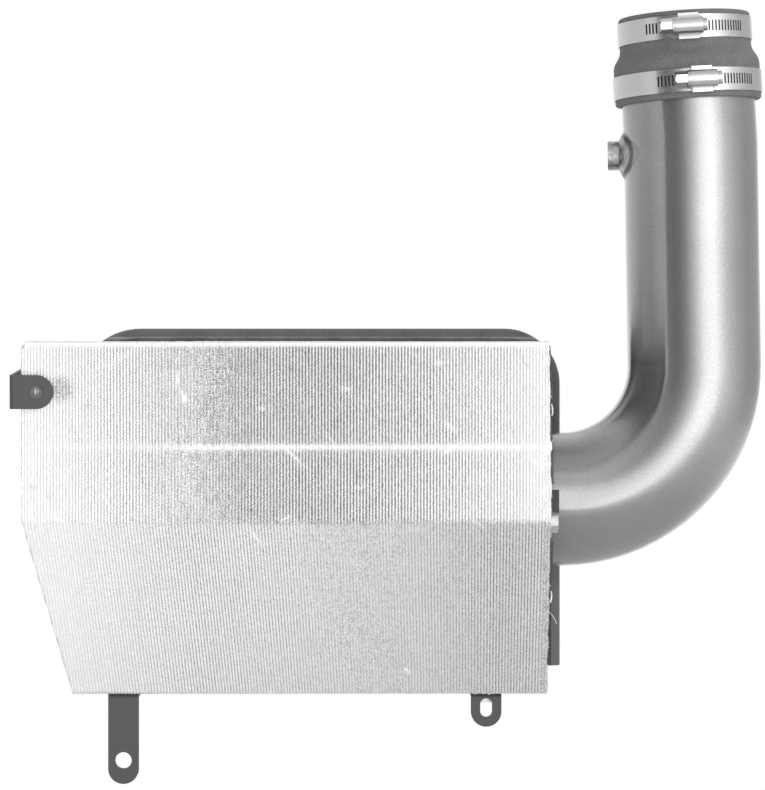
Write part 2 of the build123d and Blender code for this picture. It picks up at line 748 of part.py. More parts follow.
def floor_bracket(x, drop):
    """Angle bracket with a leg bolted under the floor and a round-ended leg that hangs in front."""
    end_radius = strap_width / 2
    with BuildPart() as bracket:
        with BuildSketch(Plane.XZ.offset(-strap_y)):
            with Locations((x, floor_z)):
                Rectangle(strap_width, drop - end_radius, align=(Align.CENTER, Align.MAX))
            with Locations((x, floor_z - drop + end_radius)):
                Circle(end_radius)
        extrude(amount=-strap_thickness)
        with BuildSketch(Plane.XY.offset(floor_z)):
            with Locations((x, strap_y)):
                Rectangle(strap_width, bracket_leg, align=(Align.CENTER, Align.MIN))
            with Locations((x, strap_y + bracket_bolt_near), (x, strap_y + bracket_bolt_far)):
                Circle(bolt_shank / 2 + hole_clearance, mode=Mode.SUBTRACT)
        extrude(amount=-strap_thickness)
        outside = (x, strap_y, floor_z)
        inside = (x, strap_y + strap_thickness, floor_z - strap_thickness)
        fillet(bracket.edges().sort_by_distance(outside)[0], strap_bend)
        fillet(bracket.edges().sort_by_distance(inside)[0], strap_bend - strap_thickness)
    return bracket.part


with BuildPart() as strap_bracket:
    add(floor_bracket(strap_x, strap_drop))
    with BuildSketch(Plane.XZ.offset(-strap_y)):
        with Locations((strap_x, floor_z - strap_drop + strap_hole_rise)):
            Circle(strap_hole / 2)
    extrude(amount=-strap_thickness, mode=Mode.SUBTRACT)
strap_bracket.part.label = "strap_bracket"
export_step(strap_bracket.part, "parts/strap_bracket.step")

with BuildPart() as slot_bracket:
    add(floor_bracket(slot_x, slot_drop))
    with BuildSketch(Plane.XZ.offset(-strap_y)):
        with Locations((slot_x, floor_z - slot_drop + slot_end_margin + slot_overall / 2)):
            SlotOverall(slot_overall, slot_size, rotation=90)
    extrude(amount=-strap_thickness, mode=Mode.SUBTRACT)
slot_bracket.part.label = "slot_bracket"
export_step(slot_bracket.part, "parts/slot_bracket.step")

with BuildPart() as bracket_bolts:
    head_z = floor_z - strap_thickness
    with BuildSketch(Plane.XY.offset(head_z)):
        with Locations(bracket_bolts_at):
            RegularPolygon(bolt_hex / 2, 6, major_radius=False)
    extrude(amount=-bolt_head)
    with BuildSketch(Plane.XY.offset(head_z)):
        with Locations(bracket_bolts_at):
            Circle(bolt_shank / 2)
    extrude(amount=strap_thickness + sheet + nut_height + bolt_tip)
bracket_bolts.part.label = "bracket_bolts"
export_step(bracket_bolts.part, "parts/bracket_bolts.step")

with BuildPart() as bracket_nuts:
    with BuildSketch(Plane.XY.offset(floor_z + sheet)):
        with Locations(bracket_bolts_at):
            RegularPolygon(bolt_hex / 2, 6, major_radius=False)
            Circle(bolt_shank / 2 + fit, mode=Mode.SUBTRACT)
    extrude(amount=nut_height)
bracket_nuts.part.label = "bracket_nuts"
export_step(bracket_nuts.part, "parts/bracket_nuts.step")
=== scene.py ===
"""Looks of a cold air intake pipe with its heat shield, laid out as an add-on and run as a script."""

from math import radians

import bpy
import numpy as np
from bpy.props import FloatProperty, FloatVectorProperty, IntProperty, PointerProperty
from bpy.types import NodeSocket, Operator, Panel, PropertyGroup
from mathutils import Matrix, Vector


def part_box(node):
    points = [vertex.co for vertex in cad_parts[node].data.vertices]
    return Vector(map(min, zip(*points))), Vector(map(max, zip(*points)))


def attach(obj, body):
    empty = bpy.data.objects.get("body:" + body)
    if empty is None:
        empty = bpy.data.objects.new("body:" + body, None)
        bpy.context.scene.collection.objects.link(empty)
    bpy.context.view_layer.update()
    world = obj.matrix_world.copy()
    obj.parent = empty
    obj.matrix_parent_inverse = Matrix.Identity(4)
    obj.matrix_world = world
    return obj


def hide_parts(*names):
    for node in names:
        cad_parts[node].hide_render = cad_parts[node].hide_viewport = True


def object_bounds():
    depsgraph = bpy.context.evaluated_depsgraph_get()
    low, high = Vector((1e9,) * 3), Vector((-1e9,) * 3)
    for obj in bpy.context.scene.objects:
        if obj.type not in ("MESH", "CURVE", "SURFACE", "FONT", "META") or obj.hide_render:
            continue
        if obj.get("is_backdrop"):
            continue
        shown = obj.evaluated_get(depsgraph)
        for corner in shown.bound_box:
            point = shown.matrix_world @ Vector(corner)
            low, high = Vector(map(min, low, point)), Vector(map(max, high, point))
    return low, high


bl_info = {
    "name": "Intake Pipe Looks",
    "version": (1, 0, 0),
    "blender": (4, 5, 0),
    "location": "3D View > Sidebar > Intake",
    "description": "Ribbed cloth, threaded fasteners, filter pleats, finishes and studio of an intake pipe",
    "category": "Object",
}

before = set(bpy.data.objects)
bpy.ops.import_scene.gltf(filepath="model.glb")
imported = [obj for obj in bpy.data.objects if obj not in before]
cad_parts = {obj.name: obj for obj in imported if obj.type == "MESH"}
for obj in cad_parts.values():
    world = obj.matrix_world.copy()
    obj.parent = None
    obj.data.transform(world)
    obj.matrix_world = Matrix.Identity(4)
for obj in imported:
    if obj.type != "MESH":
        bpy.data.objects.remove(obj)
CAD_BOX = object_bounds()
MM = 0.001
BODY = "root"


def span(node):
    """Lowest and highest corner of a CAD node, as two arrays in metres."""
    low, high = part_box(node)
    return np.array(low), np.array(high)


def centre(node):
    """Middle of a CAD node's box."""
    low, high = span(node)
    return (low + high) / 2


# Mesh helpers


def new_piece(name, points, faces, material, replaces=(), uv=None, marks=None):
    """Puts points and faces into a smooth mesh object at the origin that rides on the object's one body.
    Marks are values of each point that the material reads by name."""
    mesh = bpy.data.meshes.new(name)
    mesh.from_pydata(np.asarray(points, float).reshape(-1, 3).tolist(), [], faces)
    if uv is not None:
        corners = np.empty(len(mesh.loops), np.int32)
        mesh.loops.foreach_get("vertex_index", corners)
        layer = mesh.uv_layers.new(name="UVMap")
        layer.data.foreach_set("uv", np.asarray(uv, np.float32)[corners].ravel())
    for mark, values in (marks or {}).items():
        layer = mesh.attributes.new(mark, "FLOAT", "POINT")
        layer.data.foreach_set("value", np.asarray(values, np.float32))
    mesh.polygons.foreach_set("use_smooth", np.full(len(mesh.polygons), True))
    mesh.materials.append(material)
    mesh.update()
    piece = bpy.data.objects.new(name, mesh)
    bpy.context.scene.collection.objects.link(piece)
    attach(piece, BODY)
    if replaces:
        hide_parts(*replaces)
    return piece


def wire_tubes(paths, radius, out, closed):
    """Square tubes along many paths at once: four points round each path point, across its run and an outward
    direction."""
    ahead = np.roll(paths, -1, axis=1) - np.roll(paths, 1, axis=1)
    if not closed:
        ahead[:, 0], ahead[:, -1] = paths[:, 1] - paths[:, 0], paths[:, -1] - paths[:, -2]
    ahead /= np.linalg.norm(ahead, axis=2)[..., None]
    side = np.cross(ahead, out)
    side /= np.linalg.norm(side, axis=2)[..., None]
    up = np.cross(side, ahead)
    corners = [paths + radius * (a * side + b * up) for a, b in ((1, 0), (0, 1), (-1, 0), (0, -1))]
    return np.stack(corners, 2)


def tube_faces(tubes, start=0, closed=False):
    """Faces of tubes made of rings of points. Open tubes get end caps. On closed ones the last ring joins the
    first."""
    paths, rows, columns = tubes.shape[:3]
    i, j = np.meshgrid(np.arange(rows if closed else rows - 1), np.arange(columns), indexing="ij")
    here, below, beside = i * columns, (i + 1) % rows * columns, (j + 1) % columns
    quads = np.stack([here + j, here + beside, below + beside, below + j], -1).reshape(-1, 4)
    caps = np.arange(columns)[::-1], np.arange(columns) + (rows - 1) * columns
    faces = []
    for first in range(start, start + paths * rows * columns, rows * columns):
        faces += (quads + first).tolist()
        if not closed:
            faces += [(cap + first).tolist() for cap in caps]
    return faces


def axes_to(direction):
    """Three rows that turn local x, y, z into axes whose z lies along a direction."""
    along = np.asarray(direction, float)
    helper = np.array([0.0, 1.0, 0.0]) if abs(along[1]) < 0.9 else np.array([0.0, 0.0, 1.0])
    across = np.cross(helper, along)
    across /= np.linalg.norm(across)
    return np.stack([across, np.cross(along, across), along])


def soft_noise(rng, s, x, cell_s, cell_x):
    """Smooth noise from -1 to 1 on the grid of s by x: random values on a lattice, eased between them."""
    rows = int(np.ptp(s) / cell_s) + 3
    columns = int(np.ptp(x) / cell_x) + 3
    lattice = rng.uniform(-1, 1, (rows, columns))
    fs, fx = (s - s.min()) / cell_s, (x - x.min()) / cell_x
    i, j = fs.astype(int), fx.astype(int)
    ts, tx = fs - i, fx - j
    ts, tx = (ts * ts * (3 - 2 * ts))[:, None], (tx * tx * (3 - 2 * tx))[None, :]
    upper = lattice[np.ix_(i, j)] * (1 - tx) + lattice[np.ix_(i, j + 1)] * tx
    lower = lattice[np.ix_(i + 1, j)] * (1 - tx) + lattice[np.ix_(i + 1, j + 1)] * tx
    return upper * (1 - ts) + lower * ts


# Materials


class Nodes:
    """Short ways to add nodes to a node tree."""

    def __init__(self, tree):
        self.tree = tree

    def node(self, kind, inputs=None, **properties):
        """Adds a node. An input is a value, or another node's output to link."""
        made = self.tree.nodes.new(kind)
        for name, value in properties.items():
            setattr(made, name, value)
        for name, value in (inputs or {}).items():
            if isinstance(value, NodeSocket):
                self.tree.links.new(value, made.inputs[name])
            else:
                made.inputs[name].default_value = value
        return made

    def math(self, operation, *values):
        return self.node("ShaderNodeMath", dict(enumerate(values)), operation=operation).outputs[0]

    def apart(self, value, middle):
        """How far a value is from a middle one."""
        return self.math("ABSOLUTE", self.math("SUBTRACT", value, middle))

    def distance(self, place, point):
        return self.node("ShaderNodeVectorMath", {0: place, 1: point}, operation="DISTANCE").outputs["Value"]

    def between(self, value, low, high, top=1.0, **properties):
        """0 at a low value, rising to the top at a high one."""
        inputs = {0: value, 1: low, 2: high, 4: top}
        return self.node("ShaderNodeMapRange", inputs, **properties).outputs[0]

    def ramp(self, value, *stops):
        """Colours or greys at positions along a value from 0 to 1."""
        made = self.node("ShaderNodeValToRGB", {"Fac": value})
        elements = made.color_ramp.elements
        while len(elements) < len(stops):
            elements.new(0.5)
        for element, (position, color) in zip(elements, stops):
            element.position = position
            element.color = (*([color] * 3 if isinstance(color, float) else color), 1.0)
        return made.outputs["Color"]

    def blend(self, factor, first, second, mode="MIX"):
        """Colour mix of two outputs or colours by a factor."""
        inputs = {0: factor, 6: first, 7: second}
        return self.node("ShaderNodeMix", inputs, data_type="RGBA", blend_type=mode).outputs[2]


class Finish(Nodes):
    """A material with one principled shader."""

    def __init__(self, name, **sockets):
        self.material = bpy.data.materials.new(name)
        self.material.use_nodes = True
        super().__init__(self.material.node_tree)
        self.shader = self.tree.nodes["Principled BSDF"]
        for socket, value in sockets.items():
            self.shader.inputs[socket.replace("_", " ")].default_value = value
        self.place = self.node("ShaderNodeTexCoord").outputs["Object"]

    def stretch(self, scale, source=None):
        """The place on the piece, scaled apart along x, y and z."""
        return self.node("ShaderNodeMapping", {"Vector": source or self.place, "Scale": scale}).outputs[0]

    def noise(self, scale, detail=3.0, source=None):
        inputs = {"Vector": source or self.place, "Scale": scale, "Detail": detail, "Roughness": 0.55}
        return self.node("ShaderNodeTexNoise", inputs).outputs["Fac"]

    def flecked(self, under, grain, amount):
        """A value with an amount of finer grain on it."""
        return self.math("MULTIPLY_ADD", self.math("SUBTRACT", grain, 0.5), amount, under)

    def tone(self, value, base, dark, light, low=0.3, high=0.7):
        """A base colour shaded from dark to light along a value."""
        return self.ramp(value, (low, shade(base, dark)), (high, shade(base, light)))

    def crevice_shade(self, reach, tone):
        """A tone darkened by painted shade where other surfaces stand close."""
        near = self.node("ShaderNodeAmbientOcclusion", {"Distance": reach}, samples=8).outputs["AO"]
        return self.blend(1.0, tone, self.ramp(near, (0.3, 0.25), (0.85, 1.0)), "MULTIPLY")

    def set(self, socket, output):
        self.tree.links.new(output, self.shader.inputs[socket])

    def rough(self, value, low, high):
        """Sets the roughness along a value."""
        self.set("Roughness", self.ramp(value, (0.3, low), (0.7, high)))

    def bump(self, height, distance, strength=1.0):
        """Height in units of distance, stacked on any bump that is already there."""
        made = self.node("ShaderNodeBump", {"Height": height, "Distance": distance, "Strength": strength})
        normal = self.shader.inputs["Normal"]
        if normal.is_linked:
            self.tree.links.new(normal.links[0].from_socket, made.inputs["Normal"])
        self.tree.links.new(made.outputs["Normal"], normal)


def shade(color, factor):
    return tuple(min(1.0, channel * factor) for channel in color)


def dress(material, *nodes):
    """Gives a finish to CAD nodes."""
    for node in nodes:
        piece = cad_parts[node]
        piece.data.materials.clear()
        piece.data.materials.append(material)


# Settings


def length(name, description, default):
    return FloatProperty(
        name=name, description=description, default=default, min=0.0, unit="LENGTH", precision=5
    )


def place(name, description, default):
    return FloatProperty(name=name, description=description, default=default, unit="LENGTH")


def turned(name, description, degrees):
    return FloatProperty(name=name, description=description, default=radians(degrees), subtype="ANGLE")


def color(name, description, default):
    return FloatVectorProperty(
        name=name, description=description, default=default, size=3, min=0.0, max=1.0, subtype="COLOR"
    )


def count(name, description, default, low=0):
    return IntProperty(name=name, description=description, default=default, min=low)


def watts(name, description, default):
    return FloatProperty(
        name=name, description=description, default=default, min=0.0, max=500.0, unit="POWER"
    )


class ClothSettings(PropertyGroup):
    """Ribbed aluminised cloth on the front panel."""

    ribs: count("Ribs", "Ribs across the cloth", 166, 10)
    rib_height: length("Rib height", "From trough to crest", 0.8 * MM)
    thickness: length("Thickness", "Cloth under the ribs' troughs", 1.0 * MM)
    crease_drop: length("Crease drop", "From the panel's top edge to the pressed crease", 62.1 * MM)
    fold_drop: length("Fold drop", "From the panel's top edge to the fold", 106.5 * MM)
    cut_drop: length("Cut drop", "From the panel's top edge to the top of the corner cut", 105.0 * MM)
    cut_width: length("Cut width", "Width of the corner cut at the bottom edge", 24.7 * MM)
    hem: length("Hem", "Plain strip along the top edge", 1.2 * MM)
    hem_lift: length("Hem lift", "Slack of the top edge above the panel", 0.5 * MM)
    rib_lean: length("Rib lean", "How far the lowest facet's left ribs lean to the right", 9.5 * MM)
    lean: turned("Lean", "Forward lean of the top facet", 2.0)
    dents: count("Dents", "Pressed spots and scratches", 80)
    threads: count("Threads", "Frayed ends along each worn edge", 70)
    stitch: length("Stitch", "Half the wave of the lines between ribs", 0.95 * MM)
    face: color("Face", "Aluminised face", (0.92, 0.92, 0.92))
    # Painted shade: the colour that the troughs, specks, wrinkles and veil darken the face towards
    trough_shade: color("Trough_shade", "Dull foil in the troughs", (0.07, 0.07, 0.07))
    # A darker speckled patch mixed into the face just right of the left bracket
    dark_patch: color("Dark_patch", "Glue and soil marks", (0.25, 0.25, 0.25))
    dark_patch_reach: length("Soil reach", "How far the soil by the left bracket spreads", 15 * MM)


class FastenerSettings(PropertyGroup):
    """Bolts and nuts."""

    across_flats: length("Across flats", "Hexagon of heads and nuts", 11.1 * MM)
    head: length("Head height", "Height of a bolt's head", 4.0 * MM)
    shank: length("Shank", "Diameter over the thread", 6.35 * MM)
    pitch: length("Pitch", "Thread pitch", 1.27 * MM)
    wall_turn: turned("Wall bolt turn", "Where the wall bolt's first corner lies", 47)
    zinc: color("Zinc", "Plating", (0.66, 0.67, 0.68))


class FilterSettings(PropertyGroup):
    """Pleated cone filter."""

    pleats: count("Pleats", "Pleats round the cone", 48, 8)
    pleat_depth: length("Pleat depth", "At the wide end", 13.0 * MM)
    wall: length("Wall", "Gauze behind the pleats' valleys", 3.0 * MM)
    lip: length("Lip", "How far the cap's rim stands out past the pleats", 3.0 * MM)
    wire: length("Wire", "Diameter of the screen's wire", 0.5 * MM)
    rings: count("Rings", "Wire rings along the cone", 22, 2)
    gauze: color("Gauze", "Oiled cotton", (0.42, 0.06, 0.045))


class MetalSettings(PropertyGroup):
    """Colours of the metal pieces."""

    tube: color("Tube", "Gunmetal of the pipe", (0.37, 0.37, 0.375))
    bend: length("Bend", "Radius of the pipe's bend at its centre line", 82.5 * MM)
    radius: length("Radius", "Outside radius of the pipe", 41.25 * MM)
    # The weld's dark edge is a painted shadow
    weld_reach: length("Weld reach", "From the bung's axis to the weld's dark edge", 21 * MM)
    clamp: color("Clamp", "Stainless clamps", (0.62, 0.61, 0.6))
    sheet: color("Sheet", "Coat on the tray", (0.07, 0.07, 0.072))
    bracket: color("Bracket", "Paint on the brackets", (0.054, 0.054, 0.056))
    rivet: color("Rivet", "Rivet", (0.16, 0.16, 0.165))


class RubberSettings(PropertyGroup):
    """Colours of the rubber pieces."""

    coupler: color("Coupler", "Outlet coupler", (0.138, 0.138, 0.14))
    seal: color("Seal", "Edging", (0.125, 0.123, 0.122))
    # The line is a painted highlight where the seal's bulb catches the light
    highlight_line: length("Highlight_line", "From the seal's top to its scuffed line", 6.2 * MM)
    filter: color("Filter", "Filter's base and cap", (0.03, 0.03, 0.032))


class StageSettings(PropertyGroup):
    """Camera, light and floor."""

    distance: length("Distance", "From the camera to the pipe's middle plane", 2.108)
    centre_x: place("Centre X", "Middle of the view", -0.1867)
    centre_z: place("Centre Z", "Middle of the view", -0.2348)
    lens: FloatProperty(
        name="Lens", description="Focal length in millimetres", default=154.9, min=1.0, unit="CAMERA"
    )
    floor_drop: length("Floor drop", "From the object's lowest point to the floor", 0.16)
    key: watts("Key", "Watts of the large soft light", 5.0)
    fill: watts("Fill", "Watts of the narrow light that stands low before the shield", 0.45)


# Ribbed cloth

# Across the cloth from 0 at its left to 1 at its right: how dark the painted shade in the lines between ribs
# is and how strong an even veil of painted shade is, above and below the fold
TONE_STOPS = (0.0, 0.06, 0.2, 0.32, 0.42, 0.6, 0.75, 0.9, 1.0)
UPPER_TROUGH_SHADE = (0.35, 0.5, 0.85, 0.85, 0.9, 1.0, 1.0, 0.8, 0.35)
UPPER_SHADE_VEIL = (0.03, 0.04, 0.06, 0.13, 0.25, 0.21, 0.11, 0.03, 0.03)
LOWER_TROUGH_SHADE = (0.2, 0.32, 0.65, 0.85, 0.85, 0.75, 0.65, 0.9, 0.9)
LOWER_SHADE_VEIL = (0.0, 0.0, 0.0, 0.0, 0.0, 0.05, 0.11, 0.07, 0.03)
# Painted shade just under the fold, fading down the lowest facet
FOLD_SHADE = 0.07
# Stops across the cloth and strengths: how crushed it is above the fold, below it and along the right edge,
# how worn its crease is, and how far its lowest ribs lean
UPPER_CRUSH = (0.0, 0.2, 0.27, 0.31, 0.38, 0.43, 0.6, 1.0), (0.08, 0.12, 0.5, 0.8, 0.75, 0.35, 0.2, 0.1)
LOWER_CRUSH = (0.0, 0.3, 0.5, 0.62, 0.75, 1.0), (0.15, 0.2, 0.35, 0.75, 0.45, 0.25)
EDGE_CRUSH = (0.975, 0.99), (0.0, 0.8)
CREASE_WEAR = (0.0, 0.2, 0.36, 1.0), (0.2, 0.35, 0.9, 0.9)
RIB_LEAN = (0, 0.33, 0.6, 0.85, 1), (1, 0.92, 0.5, 0.16, 0)
CREASE_WIDTH = 1.9 * MM
FOLD_WIDTH = 1.8 * MM
BACK_GAP = 0.03 * MM
# Points along the fold line and how many of them its corners are eased over
FINE_POINTS, EASE_POINTS = 4000, 33
# Steps between rows over the hem, first and further down a facet, and within reach of a crease or fold
HEM_STEP, FIRST_STEP, ROW_STEP, CREASE_STEP = 0.6 * MM, 1.9 * MM, 1.95 * MM, 0.7 * MM
HEM_REACH, CREASE_REACH = 4 * MM, 3 * MM
LOW_ROWS = 62


def fold_path(settings):
    """Fold line of the panel's outer face from the hem's back edge over the top edge and down three facets:
    distances along it, and points and outward normals as depth and height, with the corners eased by a
    moving average."""

    def between(places, knots, values):
        return np.stack([np.interp(places, knots, values[:, k]) for k in (0, 1)], 1)

    low, high = span("heat_shield")
    front = low[1] + settings.crease_drop * np.tan(settings.lean)
    top, bottom = high[2] + settings.hem_lift, span("heat_blanket")[0][2]
    bottom_front = span("strap_bracket")[0][1] - 2 * MM
    corners = np.array(
        [
            (low[1] + 2 * MM, top),
            (low[1], top),
            (front, top - settings.crease_drop),
            (front, top - settings.fold_drop),
            (bottom_front, bottom),
        ]
    )
    reach = np.concatenate([[0], np.cumsum(np.linalg.norm(np.diff(corners, axis=0), axis=1))])
    fine = np.linspace(0, reach[-1], FINE_POINTS)
    along = between(fine, reach, corners)
    leg = np.clip(np.searchsorted(reach, fine, side="right") - 1, 0, len(corners) - 2)
    run = np.diff(corners, axis=0)[leg]
    run /= np.linalg.norm(run, axis=1)[:, None]
    outward = np.stack([run[:, 1], -run[:, 0]], 1)
    kernel = np.hanning(EASE_POINTS + 2)[1:-1]
    kernel /= kernel.sum()
    pad = EASE_POINTS // 2

    def ease(values):
        ends = 2 * values[0] - values[pad:0:-1], 2 * values[-1] - values[-2 : -pad - 2 : -1]
        longer = np.concatenate([ends[0], values, ends[1]])
        return np.stack([np.convolve(longer[:, k], kernel, "valid") for k in (0, 1)], 1)

    along, outward = ease(along), ease(outward)
    outward /= np.linalg.norm(outward, axis=1)[:, None]
    stops = reach[1], reach[2], reach[3]
    pieces = [np.arange(0, stops[0] + HEM_REACH, HEM_STEP)]
    for stop in stops[1:]:
        pieces.append(np.arange(pieces[-1][-1] + FIRST_STEP, stop - CREASE_REACH, ROW_STEP))
        pieces.append(np.arange(stop - CREASE_REACH, stop + CREASE_REACH, CREASE_STEP))
    pieces.append(np.linspace(pieces[-1][-1] + FIRST_STEP, reach[-1], LOW_ROWS))
    s = np.concatenate(pieces)
    return s, between(s, fine, along), between(s, fine, outward), stops


def rib_lean(settings, s, x, fold):
    """How far the ribs of the lowest facet have moved to the right, growing down from the fold."""
    reach = np.interp((x - x[0]) / np.ptp(x), *RIB_LEAN) * settings.rib_lean
    fall = np.clip((s - fold) / (s[-1] - fold), 0, 1)
    return fall[:, None] * reach[None, :]


def dent_spots(rng, number, s, x, top, fold):
    """Long spots scattered over the cloth down to just under the fold. Yields each one's strength on the grid
    of s by x, how far it flattens the ribs and lifts the base, and its tone: bright over 0, dull under it."""
    for _ in range(number):
        at_s, at_x = rng.uniform(top, fold + 0.25 * (s[-1] - fold)), rng.uniform(x[0], x[-1])
        size, depth = rng.uniform(0.4, 0.9) * MM, rng.uniform(0.4, 0.8)
        slant = rng.uniform(0.2, 2.2)
        ds, dx = s[:, None] - at_s, x[None, :] - at_x
        long = (ds * np.cos(slant) + dx * np.sin(slant)) / (size * rng.uniform(2, 9))
        across = (dx * np.cos(slant) - ds * np.sin(slant)) / size
        lift = rng.uniform(-0.15, 0.25) * MM
        yield np.exp(-(long**2 + across**2)), depth, lift, rng.uniform(-0.7, 0.7)


def highlight_spots(s, x, top, fold):
    """Painted highlights: spots where the lines and the veil are taken off so the foil shows bright, three in
    the upper facet and three near the lower edge: each one's strength on the grid of s by x."""
    low_run = s[-1] - fold
    places = (
        (0.296, top + 22 * MM, 0.6, 3.5),
        (0.303, top + 30 * MM, 0.7, 2.0),
        (0.309, top + 33 * MM, 1.3, 2.6),
        (0.708, fold + 0.865 * low_run, 1.0, 0.8),
        (0.718, fold + 0.855 * low_run, 1.2, 1.0),
        (0.723, fold + 0.875 * low_run, 0.8, 0.7),
    )
    for at, at_s, size_x, size_s in places:
        across = (x[None, :] - x[0] - at * np.ptp(x)) ** 2 / (size_x * MM) ** 2
        down = (s[:, None] - at_s) ** 2 / (size_s * MM) ** 2
        yield np.exp(-(across + down))


def cloth_relief(settings, s, x, stops):
    """Height of the cloth's face above the panel, and what the paint needs at each point: how dark the
    painted shade in the lines between ribs is, a veil of painted shade and some wear, and how crushed the
    cloth is. Ribs are arches, the size of a sine, across x, flattened at the hem, the creases, the dents and
    crushed patches. The base under them waves slowly."""
    rng = np.random.default_rng(11)
    pitch = np.ptp(x) / settings.ribs
    down = s[:, None]
    top, crease, fold = stops

    def across(places, values):
        return np.interp((x - x[0]) / np.ptp(x), places, values)[None, :]

    beads = soft_noise(rng, s, x, 2.0 * MM, 0.9 * pitch)
    ribs = np.abs(np.sin(np.pi * (x[None, :] - x[0]) / pitch))
    pressed = np.exp(-(((down - crease) / CREASE_WIDTH) ** 2)) * across(*CREASE_WEAR)
    folded = np.exp(-(((down - fold) / FOLD_WIDTH) ** 2))
    above = 1 / (1 + np.exp((down - fold) / (0.8 * MM)))
    crush = above * across(*UPPER_CRUSH) + (1 - above) * across(*LOWER_CRUSH)
    crush = np.clip(crush * (1 + 0.45 * soft_noise(rng, s, x, 20 * MM, 7 * MM)), 0, 1)
    crush = np.maximum(crush, across(*EDGE_CRUSH))
    crush = np.clip(crush + 0.6 * pressed + 0.1 * folded, 0, 1)
    keep = (0.9 + 0.2 * soft_noise(rng, s, x, 5 * MM, 5 * MM)) * (1 - 0.45 * crush)
    keep *= np.clip((down - top - settings.hem) / (1.2 * MM), 0.08, 1)
    keep *= (1 - 0.6 * pressed) * (1 - 0.25 * folded)
    base = 0.12 * MM * soft_noise(rng, s, x, 45 * MM, 60 * MM) + 0.45 * MM * pressed
    base += (0.05 + 0.12 * crush) * MM * beads
    lines = above * across(TONE_STOPS, UPPER_TROUGH_SHADE) + (1 - above) * across(TONE_STOPS, LOWER_TROUGH_SHADE)
    # Painted shade: the veil darkens the upper facets most just right of their middle, the lower facet
    # towards its right and just under the fold
    near_fold = FOLD_SHADE * np.clip(1 - (down - fold) / (s[-1] - fold), 0, 1)
    lower_shade_veil = across(TONE_STOPS, LOWER_SHADE_VEIL) + near_fold
    shade_and_wear_veil = above * across(TONE_STOPS, UPPER_SHADE_VEIL) + (1 - above) * lower_shade_veil
    for spot, depth, lift, tone in dent_spots(rng, settings.dents, s, x, top, fold):
        keep *= 1 - depth * spot
        base += lift * spot
        lines *= 1 - max(tone, 0) * spot
        shade_and_wear_veil = shade_and_wear_veil * (1 - max(tone, 0) * spot) + max(-tone, 0) * 0.3 * spot
    # Painted highlights: these spots take away the painted lines and veil
    for spot in highlight_spots(s, x, top, fold):
        lines *= 1 - 0.95 * spot
        shade_and_wear_veil = shade_and_wear_veil * (1 - spot)
    edge = np.clip((down - top - 0.5 * settings.hem) / (2 * settings.hem), 0.2, 1)
    edge = edge * np.clip((s[-1] - down) / (2 * MM), 0.1, 1)
    lines *= (1 - 0.6 * pressed) * edge
    # A little more painted shade along the fold
    shade_and_wear_veil = shade_and_wear_veil * (1 - 0.9 * pressed) * edge + 0.05 * folded
    marks = {"lines": lines, "shade_and_wear_veil": shade_and_wear_veil, "crush": crush}
    return settings.thickness + base + settings.rib_height * ribs * keep, marks


def cloth_edges(settings, s, path, stops):
    """Left and right limits of the cloth in each row: the corner cut, the worn top corner, and a right edge
    that wavers and juts out at the crease."""
    rng = np.random.default_rng(5)
    low, high = span("heat_blanket")
    top, crease, fold = stops
    waver = rng.normal(0, 1, len(s))
    waver = 0.16 * MM * (waver + np.roll(waver, 1) + np.roll(waver, -1))
    cut_z = span("heat_shield")[1][2] - settings.cut_drop
    fall = np.clip((cut_z - path[:, 1]) / (cut_z - path[-1, 1]), 0, 1)
    corner = np.clip(1 - (s - top) / (5.5 * MM), 0, 1) ** 1.6
    left = low[0] + settings.cut_width * fall + 2.4 * MM * corner + 0.35 * MM + 0.5 * waver
    near = (top + 2 * MM, top + 9 * MM, crease - 5 * MM, crease, crease + 5 * MM, fold, s[-1])
    right = high[0] - np.interp(s, near, (1.6, 1.0, 0.5, -0.7, 0.5, 0.3, -0.1)) * MM + waver
    return np.maximum(left, low[0]), right


def shell_faces(rows, columns, first):
    """Faces of a closed shell over a grid whose rows each start at a first column: the grid, walls down from
    its outline and a back of strips. Points behind the outline follow the grid's. Also gives the outline."""
    index = np.arange(rows)[:, None] * columns + np.maximum(np.arange(columns)[None, :], first[:, None])
    quads = np.stack([index[:-1, :-1], index[1:, :-1], index[1:, 1:], index[:-1, 1:]], -1).reshape(-1, 4)
    above, below = quads[:, 0] != quads[:, 3], quads[:, 1] != quads[:, 2]
    whole = quads[above & below]
    tips = np.concatenate([quads[above & ~below][:, [0, 1, 3]], quads[~above & below][:, [0, 1, 2]]])

    left, right = index[np.arange(rows), first], index[:, -1]
    top, bottom = index[0, first[0] :], index[-1, first[-1] :]
    loop = np.concatenate([top, right[1:], bottom[:-1][::-1], left[-2:0:-1]])
    start = rows * columns
    after = np.roll(np.arange(len(loop)), -1)
    walls = np.stack([loop, loop[after], start + after, start + np.arange(len(loop))], -1)
    place = {point: start + k for k, point in enumerate(loop.tolist())}
    left, right, top, bottom = ([place[p] for p in side.tolist()] for side in (left, right, top, bottom))
    backs = [[left[i], right[i], right[i + 1], left[i + 1]] for i in range(1, rows - 2)]
    backs.append(top + [right[1], left[1]])
    backs.append([left[-2], right[-2]] + bottom[::-1])
    return whole.tolist() + tips.tolist() + walls.tolist() + backs, loop


